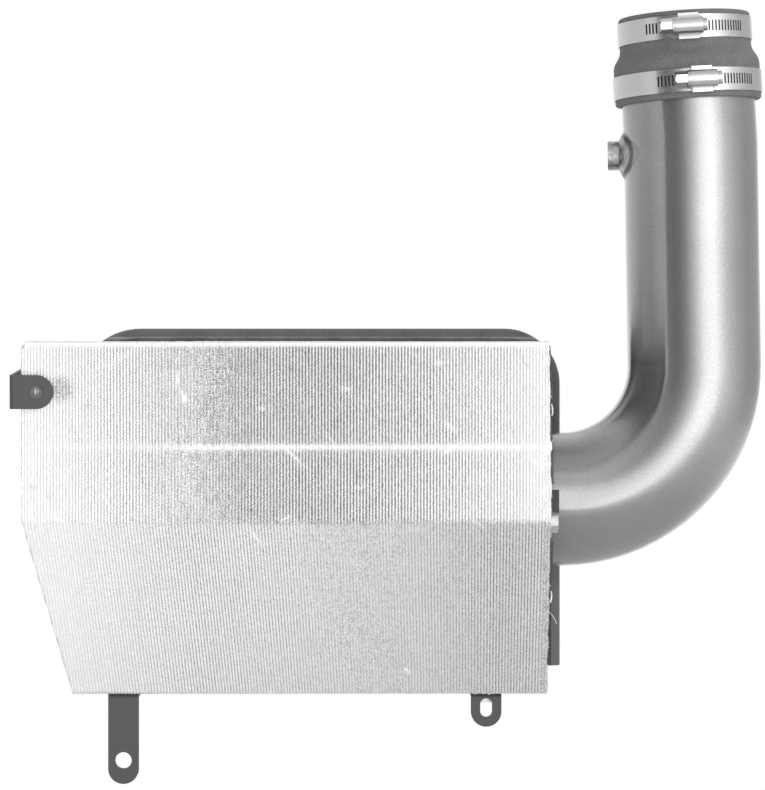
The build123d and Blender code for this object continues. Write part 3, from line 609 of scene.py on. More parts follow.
def cloth_mesh(settings):
    """The cloth as one closed shell: the ribbed face on a grid of s down the folds by x across the ribs, cut
    along the slanted corner, with walls down to the panel and a flat back. Also gives its flat size and
    area."""
    s, path, normals, stops = fold_path(settings)
    low, high = span("heat_blanket")
    rows, columns = len(s), 4 * settings.ribs + 1
    x = np.linspace(low[0], high[0], columns)
    height, marks = cloth_relief(settings, s, x, stops)
    left, right = cloth_edges(settings, s, path, stops)
    place_x = x[None, :] + rib_lean(settings, s, x, stops[2])
    near_right = np.clip(1 - (high[0] - x) / (7 * MM), 0, 1)
    place_x = place_x + (right - high[0])[:, None] * near_right[None, :] ** 2
    first = [max(np.searchsorted(row, edge, side="right") - 1, 0) for row, edge in zip(place_x, left)]
    place_x = np.maximum(place_x, left[:, None])
    # Random wear along the cut left edge, row by row, added to the veil of painted shade
    worn = np.random.default_rng(3).uniform(0, 0.5, rows) * (s > stops[0])
    marks["shade_and_wear_veil"] += worn[:, None] * np.exp(-(((place_x - left[:, None]) / (0.6 * MM)) ** 2))
    lifted = [path[:, k, None] + normals[:, k, None] * height for k in (0, 1)]
    face = np.stack([place_x, *lifted], -1).reshape(-1, 3)

    faces, loop = shell_faces(rows, columns, np.array(first))
    row = loop // columns
    behind = np.column_stack([face[loop, 0], path[row] + normals[row] * BACK_GAP])
    points = np.concatenate([face, behind])
    reach = np.concatenate([np.repeat(s, columns), s[row]])
    flat_x = np.concatenate([np.tile(x, rows), x[loop % columns]])
    uv = np.stack([(flat_x - low[0]) / (high[0] - low[0]), reach / s[-1]], -1)
    used = np.zeros(len(points), bool)
    used[np.concatenate(faces)] = True
    renumber = (np.cumsum(used) - 1).tolist()
    faces = [[renumber[point] for point in face] for face in faces]
    marks = {name: np.append(grid.ravel(), grid.ravel()[loop])[used] for name, grid in marks.items()}
    width = right - left
    area = float(np.sum(np.diff(s) * (width[1:] + width[:-1]) / 2))
    return points[used], faces, uv[used], marks, (high[0] - low[0], s[-1]), area


def edge_point(s, path, normals, right, at, lift):
    """Point on the cloth's right edge at a distance down the folds, lifted off the panel."""
    depth, height = (np.interp(at, s, path[:, k] + normals[:, k] * lift) for k in (0, 1))
    return np.array([np.interp(at, s, right), depth, height])


def frayed_threads(settings):
    """Thin square tubes along bent paths: short ends that stick out of the right edge and hang under the
    bottom edge, two curls by the pipe's hole, tufts over the slotted bracket and one long loose thread. Gives
    the paths and their thickness."""
    rng = np.random.default_rng(23)
    s, path, normals, stops = fold_path(settings)
    right = cloth_edges(settings, s, path, stops)[1]
    low, high = span("heat_blanket")
    steps = np.linspace(0, 1, 6)
    tuck = np.array([0.4, 0, 0]) * MM
    threads = []

    def hang(low_x, high_x, number, lift, rise, sway, drop, size):
        """Ends that hang down from under the bottom edge."""
        for at in rng.uniform(low_x, high_x, number):
            origin = np.array([at, path[-1, 0] + normals[-1, 0] * lift * MM, path[-1, 1] + rise * MM])
            run = np.array([rng.normal(0, sway), rng.normal(0, 0.3), -rng.uniform(*drop)]) * MM
            threads.append((origin + np.outer(steps, run), rng.uniform(*size)))

    for at in rng.uniform(stops[0] + 3 * MM, s[-1] - 2 * MM, settings.threads):
        origin = edge_point(s, path, normals, right, at, rng.uniform(0.3, 1.4) * MM)
        run = np.array([rng.uniform(0.3, 1.3), rng.normal(0, 0.4), rng.normal(0, 0.8)]) * MM
        bend = np.array([0, rng.normal(0, 0.5), rng.normal(0, 0.5)]) * MM
        end = origin - tuck + np.outer(steps, run) + np.outer(steps**2, bend)
        threads.append((end, rng.uniform(0.07, 0.13)))
    start = low[0] + settings.cut_width + 4 * MM
    hang(start, high[0] - 2 * MM, settings.threads, 0.8, 0.3, 0.7, (0.4, 1.1), (0.07, 0.14))
    for share, sweep in ((0.18, 1.0), (0.7, -1.0)):
        origin = edge_point(s, path, normals, right, share * s[-1], -1.0 * MM)
        bow = 1.6 * np.sin(np.pi * (0.15 + 0.6 * steps))
        threads.append((origin + np.stack([bow, 0.5 * steps, sweep * (3.5 - 7 * steps)], -1) * MM, 0.55))
    low, high = span("slot_bracket")
    number = settings.threads // 4
    hang(low[0] + 1 * MM, high[0] - 2 * MM, number, 1.2, 0.4, 1.4, (0.6, 1.9), (0.16, 0.3))
    origin = edge_point(s, path, normals, right, 0.745 * s[-1], 0.6 * MM)
    loose = np.stack([4.6 * steps, -0.6 * steps, -1.5 * steps - 5.0 * steps**2], -1) * MM
    threads.append((origin + loose, 0.16))
    paths, sizes = zip(*threads)
    return np.array(paths), np.array(sizes) * MM


def cloth_finish(settings, run):
    """Aluminised face: bright foil whose ribs are parted by dark lines of painted shade that waver from
    stitch to stitch and break into specks and wrinkles of painted shade where the cloth is crushed, with fine
    crumples and a darker speckled patch beside the left bracket."""
    finish = Finish("aluminised_cloth", Metallic=0.4)
    math = finish.math
    uv = finish.node("ShaderNodeTexCoord").outputs["UV"]
    across, along, _ = finish.node("ShaderNodeSeparateXYZ", {0: uv}).outputs
    rib = math("MULTIPLY", across, float(settings.ribs))
    step = math("MULTIPLY", along, run / settings.stitch)
    stitches = finish.node("ShaderNodeCombineXYZ", {0: rib, 1: step}).outputs[0]
    sway = math("MULTIPLY", finish.noise(1.0, 2.0, stitches), 0.9)
    start = math("MULTIPLY_ADD", math("ROUND", rib), 0.62, step)
    sway = math("MULTIPLY_ADD", math("PINGPONG", start, 1.0), 0.18, sway)
    turn = math("MULTIPLY", math("SUBTRACT", math("ADD", rib, sway), 0.54), np.pi)
    # Painted shade in the troughs between ribs
    trough = math("SUBTRACT", 1.0, math("ABSOLUTE", math("SINE", turn)))
    specks = finish.noise(1.0, 2.0, finish.stretch((2.3, 1.2, 1.0), stitches))
    specks = finish.ramp(specks, (0.32, 0.0), (0.72, 1.0))
    lines, shade_and_wear_veil, crush = (
        finish.node("ShaderNodeAttribute", attribute_name=name).outputs["Fac"]
        for name in ("lines", "shade_and_wear_veil", "crush")
    )
    # Painted shade, with some wear in the veil: trough shade, or specks where crushed, by the lines'
    # strength, plus the veil
    dark = math("MULTIPLY_ADD", finish.blend(crush, trough, specks), lines, shade_and_wear_veil)
    # Painted shade along wrinkles where the cloth is crushed
    wrinkle = finish.apart(finish.noise(420.0, 2.0, finish.stretch((1.0, 1.0, 0.3))), 0.5)
    wrinkle = math("SUBTRACT", finish.ramp(wrinkle, (0.01, 0.0), (0.12, 0.2)), 0.09)
    dark = math("MAXIMUM", math("MULTIPLY_ADD", wrinkle, crush, dark), 0.0)
    grain = finish.noise(1500.0, 2.0)
    tone = finish.tone(grain, settings.face, 0.86, 1.06, 0.32, 0.62)
    # The face darkens towards the trough shade colour by all that painted shade
    tone = finish.blend(math("MINIMUM", dark, 1.0), tone, (*settings.trough_shade, 1.0))
    # Darker speckled patch: the face turns towards the patch colour near a point just right of the left
    # bracket, fading out over the reach
    beside, below = span("left_bracket")[1][0] + 4.5 * MM, centre("left_bracket")[2] - 1 * MM
    dark_patch_middle = beside, span("left_rivet")[0][1], below
    dark_patch = math("MULTIPLY_ADD", finish.noise(900.0, 3.0), 8 * MM, finish.distance(finish.place, dark_patch_middle))
    dark_patch = finish.ramp(math("DIVIDE", dark_patch, settings.dark_patch_reach), (0.6, 0.9), (0.95, 0.0))
    dark_patch = math("MULTIPLY", dark_patch, finish.ramp(grain, (0.42, 1.0), (0.58, 0.2)))
    finish.set("Base Color", finish.blend(dark_patch, tone, (*settings.dark_patch, 1.0)))
    finish.rough(grain, 0.45, 0.3)
    finish.bump(finish.noise(1.0, 1.0, stitches), 0.25 * MM, 0.7)
    finish.bump(finish.apart(finish.noise(800.0, 3.0), 0.5), 0.8 * MM, 0.8)
    return finish.material


def thread_finish(settings):
    """Loose glass thread: pale and matte."""
    finish = Finish("loose_thread", Roughness=0.7)
    finish.set("Base Color", finish.tone(finish.noise(900.0), settings.face, 0.7, 1.0))
    return finish.material


class INTAKE_OT_cloth(Operator):
    """Makes the ribbed cloth that covers the front panel"""

    bl_idname = "intake.cloth"
    bl_label = "Ribbed cloth"

    def execute(self, context):
        settings = context.scene.intake_cloth
        points, faces, uv, marks, flat, area = cloth_mesh(settings)
        material = cloth_finish(settings, flat[1])
        cloth = new_piece("ribbed_cloth", points, faces, material, ["heat_blanket"], uv, marks)
        paths, sizes = frayed_threads(settings)
        tubes = wire_tubes(paths, sizes[:, None, None], np.array([0.0, -1.0, 0.3]), closed=False)
        threads = new_piece("frayed_threads", tubes, tube_faces(tubes), thread_finish(settings))
        return {"FINISHED"}


# Bolts and nuts

TURN = np.linspace(0, 2 * np.pi, 48, endpoint=False)
# Radius of the round flat on a hexagon's end, as a share of its flats, and the slope from there to a corner
CHAMFER = 0.475
CHAMFER_SLOPE = np.tan(radians(30))


def hexagon(across_flats, first=0.0):
    """Distance from the middle to a hexagon's side at each turn, with a corner at the first turn."""
    return across_flats / 2 / np.cos(np.mod(TURN - first, np.pi / 3) - np.pi / 6)


def spin(rings):
    """Points round the z axis from rings of radius and height, each even or given at every turn."""
    r, z = (np.array([np.broadcast_to(ring[k], TURN.shape) for ring in rings]) for k in (0, 1))
    return np.stack([r * np.cos(TURN), r * np.sin(TURN), z], -1)


def bolt_rings(settings, reach, first=0.0):
    """Rings from the top of a bolt's head to its tip: a chamfered hexagon, then a shank whose radius follows
    a helix of the thread's pitch and tapers at the tip. Local z points out of the head."""
    head, radius = settings.head, settings.shank / 2
    side = hexagon(settings.across_flats, first)
    chamfer = CHAMFER * settings.across_flats
    depth, edge, tip = 0.6 * settings.pitch, 0.3 * MM, 0.9 * MM
    rings = [
        (0.7 * chamfer, head),
        (chamfer, head),
        (side, head - (side - chamfer) * CHAMFER_SLOPE),
        (side, edge),
        (side - edge, 0.0),
        (radius, 0.0),
    ]
    for z in np.arange(edge, reach, settings.pitch / 6):
        phase = np.mod(z / settings.pitch + TURN / (2 * np.pi), 1)
        ridge = 1 - np.abs(2 * phase - 1)
        taper = np.clip((z - reach + tip) / tip, 0, 1) * 0.18 * radius
        rings.append((np.minimum(radius - depth + depth * ridge, radius - taper), -z))
    return spin(rings + [(0.8 * radius, -reach), (0.3 * radius, -reach)])


def nut_rings(settings, height):
    """Closed profile of a nut carried round its axis: chamfered hexagon outside, round bore inside."""
    side, bore = hexagon(settings.across_flats), settings.shank / 2 + 0.05 * MM
    chamfer = CHAMFER * settings.across_flats
    drop = (side - chamfer) * CHAMFER_SLOPE
    rings = [
        (bore, 0.0),
        (bore, height - 0.4 * MM),
        (bore + 0.4 * MM, height),
        (chamfer, height),
        (side, height - drop),
        (side, drop),
        (chamfer, 0.0),
    ]
    return spin(rings)


def zinc_finish(settings):
    """Zinc plating: bright, faintly cloudy, with fine tool marks."""
    finish = Finish("zinc_plating", Metallic=1.0)
    cloud = finish.noise(260.0, 4.0)
    finish.set("Base Color", finish.tone(cloud, settings.zinc, 0.8, 1.1))
    finish.rough(finish.noise(900.0, 2.0), 0.22, 0.38)
    finish.bump(cloud, 0.03 * MM, 0.4)
    return finish.material


class INTAKE_OT_fasteners(Operator):
    """Makes the threaded bolts and nuts, and finishes the washer"""

    bl_idname = "intake.fasteners"
    bl_label = "Bolts and nuts"

    def execute(self, context):
        settings = context.scene.intake_fasteners
        material = zinc_finish(settings)
        self.place_bolts(settings, material)
        self.place_nuts(settings, material)
        dress(material, "side_washer")
        return {"FINISHED"}

    def floor_places(self, settings, z):
        """Spots at a height on the axes of the four bolts under the floor, two in each bracket."""
        low, high = span("bracket_bolts")
        half = settings.across_flats / 2
        brackets = [centre(bracket)[0] for bracket in ("strap_bracket", "slot_bracket")]
        return [np.array([x, y, z]) for x in brackets for y in (low[1] + half, high[1] - half)]

    def place_bolts(self, settings, material):
        low, high = span("bracket_bolts")
        heads = low[2] + settings.head
        rings = bolt_rings(settings, high[2] - heads)
        spots = self.floor_places(settings, heads)
        self.group("floor_bolts", rings, (0, 0, -1), spots, material, "bracket_bolts")
        low, high = span("side_bolt")
        head = high[0] - settings.head
        rings = bolt_rings(settings, head - low[0], settings.wall_turn)
        spot = np.array([head, *centre("side_bolt")[1:]])
        self.group("wall_bolt", rings, (1, 0, 0), [spot], material, "side_bolt")

    def place_nuts(self, settings, material):
        low, high = span("bracket_nuts")
        rings = nut_rings(settings, high[2] - low[2])
        spots = self.floor_places(settings, low[2])
        self.group("floor_nuts", rings, (0, 0, 1), spots, material, "bracket_nuts", loop=True)
        low, high = span("side_nut")
        rings = nut_rings(settings, high[0] - low[0])
        spot = np.array([high[0], *centre("side_nut")[1:]])
        self.group("wall_nut", rings, (-1, 0, 0), [spot], material, "side_nut", loop=True)

    def group(self, name, rings, direction, spots, material, node, loop=False):
        """One mesh of equal ring stacks at several spots, turned so that local z lies along a direction."""
        stacks = np.stack([rings @ axes_to(direction) + spot for spot in spots])
        faces = [face[::-1] for face in tube_faces(stacks, closed=loop)]
        piece = new_piece(name, stacks, faces, material, [node])
        piece.data.set_sharp_from_angle(angle=radians(32))


# Cone filter


def pleat_fold(turn, pleats):
    """Rounded triangle wave from 0 on a pleat's tip to 1 in its valley."""
    wave = np.arcsin(0.97 * np.cos(turn * pleats)) / np.arcsin(0.97)
    return 0.5 - 0.5 * wave


def cone_place(settings, turn, share_along, lift):
    """Point on the pleated cone: its radius shrinks along the cone, less the pleat's fold, plus a lift."""
    low, high = span("filter_media")
    cap_low, cap_high = span("filter_end_cap")
    _, y, z = centre("filter_media")
    wide = (high[2] - low[2]) / 2
    narrow = (cap_high[2] - cap_low[2]) / 2 - settings.lip
    size = 1 + (narrow / wide - 1) * share_along
    radius = size * (wide - settings.pleat_depth * pleat_fold(turn, settings.pleats)) + lift
    x = high[0] + (low[0] - high[0]) * share_along
    return np.stack([x + 0 * turn, y + radius * np.cos(turn), z + radius * np.sin(turn)], -1)


def pleat_shell(settings):
    """Closed sleeve: the pleated outside on a grid of turn by length, and a plain round inside."""
    turns = np.linspace(0, 2 * np.pi, 10 * settings.pleats, endpoint=False)
    outside = cone_place(settings, *np.meshgrid(turns, np.linspace(0, 1, 34)), 0.0)
    low, high = span("filter_media")
    _, y, z = centre("filter_media")
    wide = (high[2] - low[2]) / 2
    core = outside[[0, -1]]
    for row, size in zip(core, (1.0, np.ptp(outside[-1, :, 1]) / 2 / wide)):
        radius = size * (wide - settings.pleat_depth - settings.wall)
        row[:, 1] = y + radius * np.cos(turns)
        row[:, 2] = z + radius * np.sin(turns)
    return np.concatenate([outside, core[::-1]])


def gauze_finish(settings):
    """Oiled cotton gauze: deep red with a fine weave and darker, wetter patches."""
    finish = Finish("oiled_gauze", Specular_IOR_Level=0.35)
    weave = finish.node("ShaderNodeTexVoronoi", {"Vector": finish.place, "Scale": 1400.0}).outputs["Distance"]
    oil = finish.noise(45.0, 4.0)
    finish.set("Base Color", finish.tone(oil, settings.gauze, 0.55, 1.15))
    finish.rough(oil, 0.6, 0.9)
    finish.bump(weave, 0.25 * MM, 0.7)
    return finish.material


def wire_finish():
    """Coated screen wire: dull grey metal."""
    finish = Finish("screen_wire", Metallic=1.0, Roughness=0.42)
    grey = finish.ramp(finish.noise(300.0), (0.3, (0.34, 0.34, 0.35)), (0.7, (0.5, 0.5, 0.5)))
    finish.set("Base Color", grey)
    return finish.material


class INTAKE_OT_filter(Operator):
    """Makes the filter's gauze pleats and their wire screen"""

    bl_idname = "intake.filter"
    bl_label = "Filter pleats"

    def execute(self, context):
        settings = context.scene.intake_filter
        rings = pleat_shell(settings)
        faces = [face[::-1] for face in tube_faces(rings[None], closed=True)]
        gauze = gauze_finish(settings)
        new_piece("gauze_pleats", rings, faces, gauze, ["filter_media"])
        self.screen(settings)
        return {"FINISHED"}

    def screen(self, settings):
        """Wire rings that follow the pleats, and straight wires along their tips, sides and valleys."""
        radius = settings.wire / 2
        pleats = settings.pleats
        upright = np.array([0.0, 1.0, 1.0])
        middle = centre("filter_media") * upright

        def wires(turn, along, closed):
            paths = cone_place(settings, turn, along, -0.2 * radius)
            return wire_tubes(paths, radius, (paths - middle) * upright, closed)

        turns = np.linspace(0, 2 * np.pi, 8 * pleats, endpoint=False)
        turn, along = np.meshgrid(turns, np.linspace(0.03, 0.97, settings.rings))
        hoops = wires(turn, along, True)
        along, turn = np.meshgrid(np.linspace(0.005, 0.995, 3), np.arange(4 * pleats) * np.pi / 2 / pleats)
        bars = wires(turn, along, False)
        points = np.concatenate([hoops.reshape(-1, 3), bars.reshape(-1, 3)])
        faces = tube_faces(hoops, closed=True) + tube_faces(bars, hoops.size // 3)
        new_piece("wire_screen", points, faces, wire_finish())


# Finishes of the CAD pieces


class INTAKE_OT_pipe(Operator):
    """Finishes the pipe and the bung welded to it"""

    bl_idname = "intake.pipe"
    bl_label = "Pipe finish"

    def execute(self, context):
        settings = context.scene.intake_metal
        dress(self.gunmetal(settings), "intake_tube")
        dress(self.weld(settings), "tube_bung")
        return {"FINISHED"}

    def gunmetal(self, settings):
        """Brushed gunmetal under a clear coat: fine flecks on soft clouds, and a faint waviness."""
        finish = Finish("gunmetal_gloss", Metallic=1.0, Anisotropic=1.0, Coat_Weight=0.4, Coat_Roughness=0.03)
        grain = finish.noise(1500.0, 2.0)
        cloud = finish.flecked(finish.noise(18.0, 3.0), finish.noise(900.0, 2.0), 1.3)
        finish.set("Base Color", finish.tone(cloud, settings.tube, 0.9, 1.1, 0.1, 0.9))
        finish.rough(grain, 0.2, 0.26)
        finish.set("Tangent", self.along_pipe(finish, settings))
        finish.bump(grain, 0.02 * MM, 0.2)
        finish.bump(finish.noise(40.0, 3.0), 0.2 * MM, 0.9)
        return finish.material

    def weld(self, settings):
        """Rippled weld metal on the bung, with a painted shadow along its edge. Past that edge it is flush
        with the pipe and has the pipe's colour. The edge is an oval across the bung's axis."""
        weld = Finish("weld_metal", Metallic=1.0)
        base, edge = settings.tube, settings.weld_reach
        oval = np.array([0.0, 1.0, 1.6])
        ripple = weld.noise(420.0, 3.0)
        away = weld.distance(weld.stretch(oval.tolist()), (centre("tube_bung") * oval).tolist())
        away = weld.math("MULTIPLY_ADD", ripple, 2 * MM, away)
        flush = weld.between(away, edge + 0.5 * MM, edge + 2 * MM)
        # Painted shadow along the weld's edge
        seam_shadow = weld.between(weld.apart(away, edge), 2 * MM, 0.8 * MM, 0.8)
        # Painted shade where the pipe and the bung stand close
        tone = weld.crevice_shade(4 * MM, weld.tone(ripple, base, 0.8, 1.6))
        tone = weld.blend(flush, tone, (*base, 1.0))
        weld.set("Base Color", weld.blend(seam_shadow, tone, (*shade(base, 0.25), 1.0)))
        weld.rough(ripple, 0.26, 0.42)
        weld.bump(weld.math("MULTIPLY", ripple, weld.math("SUBTRACT", 1.0, flush)), 0.45 * MM, 0.6)
        return weld.material

    def along_pipe(self, finish, settings):
        """Direction of the pipe's centre line at each point: across from the bend's middle, held upright
        above the bend and level beside it. The brushing goes round the pipe, so highlights run along it."""
        low, high = span("intake_tube")
        inset = settings.bend + settings.radius
        x, _, z = finish.node("ShaderNodeSeparateXYZ", {0: finish.place}).outputs
        across = finish.math("MAXIMUM", finish.math("SUBTRACT", x, high[0] - inset), 0.0)
        down = finish.math("MAXIMUM", finish.math("SUBTRACT", low[2] + inset, z), 0.0)
        return finish.node("ShaderNodeCombineXYZ", {0: down, 2: across}).outputs[0]


class INTAKE_OT_rubber(Operator):
    """Finishes the coupler, the edging and the filter's moulded ends"""

    bl_idname = "intake.rubber"
    bl_label = "Rubber finish"

    def execute(self, context):
        settings = context.scene.intake_rubber
        highlight_line = span("rim_trim")[1][2] - settings.highlight_line
        dress(self.rubber("coupler_rubber", settings.coupler, 0.62, 0.08), "outlet_coupler")
        dress(self.rubber("seal_rubber", settings.seal, 0.5, 0.05, highlight_line), "rim_trim", "hole_trim")
        dress(self.rubber("moulded_rubber", settings.filter, 0.45, 0.05), "filter_base", "filter_end_cap")
        return {"FINISHED"}

    def rubber(self, name, base, roughness, relief, highlight_line=None):
        """Matte rubber: mottled tone, a fine pebbled skin, a few pale specks of dust and a painted highlight
        line at a height."""
        finish = Finish(name, Specular_IOR_Level=0.4)
        mottle = finish.noise(90.0, 4.0)
        flecked = finish.flecked(mottle, finish.noise(900.0, 2.0), 1.2)
        tone = finish.tone(flecked, base, 0.76, 1.24, 0.1, 0.9)
        dust = finish.ramp(finish.noise(700.0, 2.0), (0.64, 0.0), (0.72, 0.5))
        # Painted highlight: a pale line along the seal at a height
        if highlight_line is not None:
            height = finish.node("ShaderNodeSeparateXYZ", {0: finish.place}).outputs[2]
            line = finish.math("LESS_THAN", finish.apart(height, highlight_line), 0.8 * MM)
            tone = finish.blend(finish.math("MULTIPLY", line, mottle), tone, (*shade(base, 3.5), 1.0))
        finish.set("Base Color", finish.blend(dust, tone, (*shade(base, 2.0), 1.0)))
        finish.rough(mottle, roughness - 0.07, roughness + 0.07)
        finish.bump(finish.noise(1600.0, 2.0), relief * MM, 0.5)
        return finish.material


class INTAKE_OT_clamps(Operator):
    """Finishes the worm-drive clamps"""

    bl_idname = "intake.clamps"
    bl_label = "Clamp finish"

    def execute(self, context):
        finish = Finish("stainless_band", Metallic=1.0)
        lines = finish.noise(160.0, 3.0, finish.stretch((1.0, 1.0, 14.0)))
        tone = finish.tone(lines, context.scene.intake_metal.clamp, 0.93, 1.06)
        # Painted shade in the crevices round the housings, screws and slots
        finish.set("Base Color", finish.crevice_shade(4 * MM, tone))
        finish.rough(lines, 0.16, 0.28)
        finish.bump(lines, 0.02 * MM, 0.35)
        for clamp in ("outlet", "tube", "filter"):
            dress(finish.material, *(f"{clamp}_clamp_{piece}" for piece in ("band", "housing", "screw")))
        return {"FINISHED"}


class INTAKE_OT_sheet_metal(Operator):
    """Finishes the tray, the brackets and the rivet"""

    bl_idname = "intake.sheet_metal"
    bl_label = "Sheet metal finish"

    def execute(self, context):
        settings = context.scene.intake_metal
        dress(self.coat("tray_coat", settings.sheet), "heat_shield")
        paint = self.coat("bracket_paint", settings.bracket)
        dress(paint, "left_bracket", "strap_bracket", "slot_bracket", "tube_tab")
        finish = Finish("rivet_metal", Metallic=1.0, Roughness=0.28)
        tone = finish.tone(finish.noise(500.0), settings.rivet, 0.8, 1.0)
        # Painted shade round the rivet where the bracket stands close
        finish.set("Base Color", finish.crevice_shade(2 * MM, tone))
        dress(finish.material, "left_rivet")
        return {"FINISHED"}

    def coat(self, name, base):
        """Satin coat: an even tone with soft clouds and fine orange peel."""
        finish = Finish(name, Specular_IOR_Level=0.45)
        peel = finish.noise(650.0, 2.0)
        cloud = finish.flecked(finish.noise(30.0, 3.0), peel, 0.9)
        finish.set("Base Color", finish.tone(cloud, base, 0.84, 1.16, 0.1, 0.9))
        finish.rough(peel, 0.4, 0.52)
        finish.bump(peel, 0.05 * MM, 0.4)
        return finish.material


# Stage

WHITE = (1.0, 1.0, 1.0, 1.0)
# Greys of the studio round the object at its own height, by degrees to the right of the camera
STUDIO_RING = (
    ((-180, 1.0), (-150, 0.92), (-110, 0.8), (-84, 0.78), (-62, 0.92), (-52, 0.9), (-50, 0.32), (-37, 0.18))
    + ((-27, 0.24), (-17, 0.5), (-7, 1.05), (4, 1.9), (12, 2.7), (19, 3.0), (34, 3.0), (41, 2.4), (48, 1.95))
    + ((60, 1.4), (76, 0.97), (101, 0.66), (140, 0.6), (163, 0.85), (180, 1.0))
)
# Greys from straight down to straight up, by the sine of the angle, and how far they are dimmed, by degrees
# to the right of the camera
STUDIO_RISE = ((-1.0, 0.6), (-0.55, 0.75), (0.0, 0.95), (0.65, 1.0), (0.9, 0.8), (1.0, 0.65))
STUDIO_SIDE = ((-180, 1.0), (-140, 0.8), (-125, 0.12), (-54, 0.12), (-44, 0.75), (-20, 1.0), (180, 1.0))
# Sines of the angle: where the dimming ends, the ring's middle, and how far from that it fades into the rise
STUDIO_DIM_TOP = 0.66, 0.7
STUDIO_LEVEL = -0.06
STUDIO_FADE = 0.2, 0.6
# From the point under the object, where the floor starts to turn white and where it is white
FLOOR_FADE = 0.5, 0.95
KEY_PLACE, KEY_SIZE = (1.3, -1.7, 1.1), 1.2
# The narrow light's place ahead of the object and above the floor, its size and its spread
FILL_AHEAD, FILL_LIFT, FILL_SIZE, FILL_SPREAD = 0.35, 0.1, 0.28, radians(80)


def backdrop_mesh(floor_z):
    """Sweep of a profile along x: a flat floor that curves up into a wall behind."""
    curve = np.linspace(0, np.pi / 2, 16)
    radius, front, back, top = 1.2, -1.15, 4.2, 4.5
    depth = np.concatenate([[front], back - radius + radius * np.sin(curve), [back]])
    height = np.concatenate([[0.0], radius - radius * np.cos(curve), [top]]) + floor_z
    side = np.array([-1.6, 1.3])
    rows = len(depth)
    points = np.stack([np.repeat(side, rows), np.tile(depth, 2), np.tile(height, 2)], -1)
    faces = [[k, k + rows, k + rows + 1, k + 1] for k in range(rows - 1)]
    mesh = bpy.data.meshes.new("backdrop")
    mesh.from_pydata(points.tolist(), [], faces)
    mesh.polygons.foreach_set("use_smooth", np.full(len(mesh.polygons), True))
    return mesh


def backdrop_finish(under):
    """White paper: a plain floor that takes shadows round the point under the object, lit to full white away
    from it for the camera and in reflections."""
    finish = Finish("white_paper", Roughness=0.9, Specular_IOR_Level=0.1)
    finish.set("Base Color", finish.ramp(finish.noise(8.0), (0.3, 0.77), (0.7, 0.79)))
    light = finish.node("ShaderNodeLightPath").outputs
    seen = finish.math("MAXIMUM", light["Is Camera Ray"], light["Is Glossy Ray"])
    seen = finish.math("MAXIMUM", seen, light["Is Transmission Ray"])
    away = finish.distance(finish.place, under)
    away = finish.between(away, *FLOOR_FADE, interpolation_type="SMOOTHSTEP")
    lit = finish.math("MULTIPLY", seen, away)
    glow = finish.node("ShaderNodeEmission", {"Color": WHITE, "Strength": 1.0}).outputs[0]
    mixed = finish.node("ShaderNodeMixShader", {0: lit, 1: finish.shader.outputs[0], 2: glow}).outputs[0]
    finish.tree.links.new(mixed, finish.tree.nodes["Material Output"].inputs["Surface"])
    return finish.material


def studio_world():
    """Soft studio: a ring of greys by direction, eased above and below to a plain rise of greys, and white to
    the camera."""
    world = bpy.data.worlds.new("studio")
    world.use_nodes = True
    studio = Nodes(world.node_tree)
    place = studio.node("ShaderNodeTexCoord").outputs["Generated"]
    x, y, z = studio.node("ShaderNodeSeparateXYZ", {0: place}).outputs
    azimuth = studio.math("ARCTAN2", x, studio.math("MULTIPLY", y, -1.0))
    turn = studio.math("MULTIPLY_ADD", azimuth, 0.5 / np.pi, 0.5)
    ring, side = (
        studio.ramp(turn, *((degrees / 360 + 0.5, grey) for degrees, grey in stops))
        for stops in (STUDIO_RING, STUDIO_SIDE)
    )
    rise = studio.math("MULTIPLY_ADD", z, 0.5, 0.5)
    rise = studio.ramp(rise, *((height / 2 + 0.5, grey) for height, grey in STUDIO_RISE))
    over = studio.between(z, *STUDIO_DIM_TOP)
    rise = studio.math("MULTIPLY", rise, studio.math("MAXIMUM", side, over))
    away = studio.apart(z, STUDIO_LEVEL)
    away = studio.between(away, *STUDIO_FADE, interpolation_type="SMOOTHSTEP")
    seen = studio.node("ShaderNodeLightPath").outputs["Is Camera Ray"]
    light = studio.blend(seen, studio.blend(away, ring, rise), WHITE)
    studio.tree.links.new(light, studio.tree.nodes["Background"].inputs["Color"])
    return world


def soft_light(name, place, target, size, power):
    """Square area lamp that faces a target."""
    lamp = bpy.data.lights.new(name, "AREA")
    lamp.shape = "SQUARE"
    lamp.size = size
    lamp.energy = power
    holder = bpy.data.objects.new(name, lamp)
    holder.location = place
    holder.rotation_euler = (Vector(target) - Vector(place)).to_track_quat("-Z", "Y").to_euler()
    bpy.context.scene.collection.objects.link(holder)
    return holder


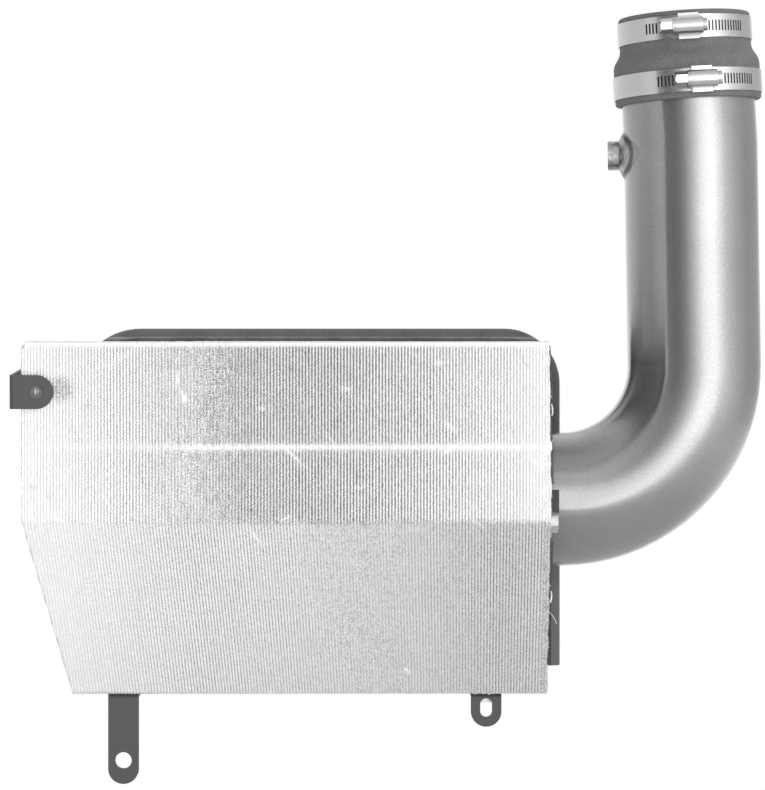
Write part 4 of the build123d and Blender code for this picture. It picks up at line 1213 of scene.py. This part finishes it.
class INTAKE_OT_stage(Operator):
    """Makes the backdrop, the studio light and the camera"""

    bl_idname = "intake.stage"
    bl_label = "Stage"

    def execute(self, context):
        scene = context.scene
        settings = scene.intake_stage
        low, high = CAD_BOX
        middle = (low + high) / 2
        floor_z = low.z - settings.floor_drop
        mesh = backdrop_mesh(floor_z)
        mesh.materials.append(backdrop_finish((middle.x, middle.y, floor_z)))
        backdrop = bpy.data.objects.new("backdrop", mesh)
        scene.collection.objects.link(backdrop)
        backdrop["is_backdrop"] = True
        scene.world = studio_world()
        soft_light("key", KEY_PLACE, middle, KEY_SIZE, settings.key)
        low_front = (low.x, low.y - FILL_AHEAD, floor_z + FILL_LIFT)
        fill = soft_light("low fill", low_front, middle, FILL_SIZE, settings.fill)
        fill.data.spread = FILL_SPREAD
        fill.visible_camera = fill.visible_glossy = False
        lens = bpy.data.cameras.new("camera")
        lens.lens = settings.lens
        lens.clip_end = 50.0
        camera = bpy.data.objects.new("camera", lens)
        camera.location = (settings.centre_x, -settings.distance, settings.centre_z)
        camera.rotation_euler = (radians(90), 0.0, 0.0)
        scene.collection.objects.link(camera)
        scene.camera = camera
        scene.view_settings.view_transform = "Standard"
        return {"FINISHED"}


SETTINGS = {
    "intake_cloth": ClothSettings,
    "intake_fasteners": FastenerSettings,
    "intake_filter": FilterSettings,
    "intake_metal": MetalSettings,
    "intake_rubber": RubberSettings,
    "intake_stage": StageSettings,
}
OPERATORS = (
    INTAKE_OT_cloth,
    INTAKE_OT_fasteners,
    INTAKE_OT_filter,
    INTAKE_OT_pipe,
    INTAKE_OT_rubber,
    INTAKE_OT_clamps,
    INTAKE_OT_sheet_metal,
    INTAKE_OT_stage,
)


class INTAKE_PT_panel(Panel):
    """Lists the pieces and finishes"""

    bl_label = "Intake pipe"
    bl_idname = "INTAKE_PT_panel"
    bl_space_type = "VIEW_3D"
    bl_region_type = "UI"
    bl_category = "Intake"

    def draw(self, context):
        for operator in OPERATORS:
            self.layout.operator(operator.bl_idname)
        for name in SETTINGS:
            box = self.layout.box()
            group = getattr(context.scene, name)
            for field in group.__annotations__:
                box.prop(group, field)


CLASSES = (*SETTINGS.values(), *OPERATORS, INTAKE_PT_panel)


def register():
    for cls in CLASSES:
        bpy.utils.register_class(cls)
    for name, group in SETTINGS.items():
        setattr(bpy.types.Scene, name, PointerProperty(type=group))


def unregister():
    for name in SETTINGS:
        delattr(bpy.types.Scene, name)
    for cls in reversed(CLASSES):
        bpy.utils.unregister_class(cls)


def main():
    register()
    for operator in OPERATORS:
        family, name = operator.bl_idname.split(".")
        getattr(getattr(bpy.ops, family), name)()
    boxes = {"cad": CAD_BOX, "visual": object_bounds()}
    {key: [list(corner) for corner in box] for key, box in boxes.items()}


if __name__ == "__main__":
    main()
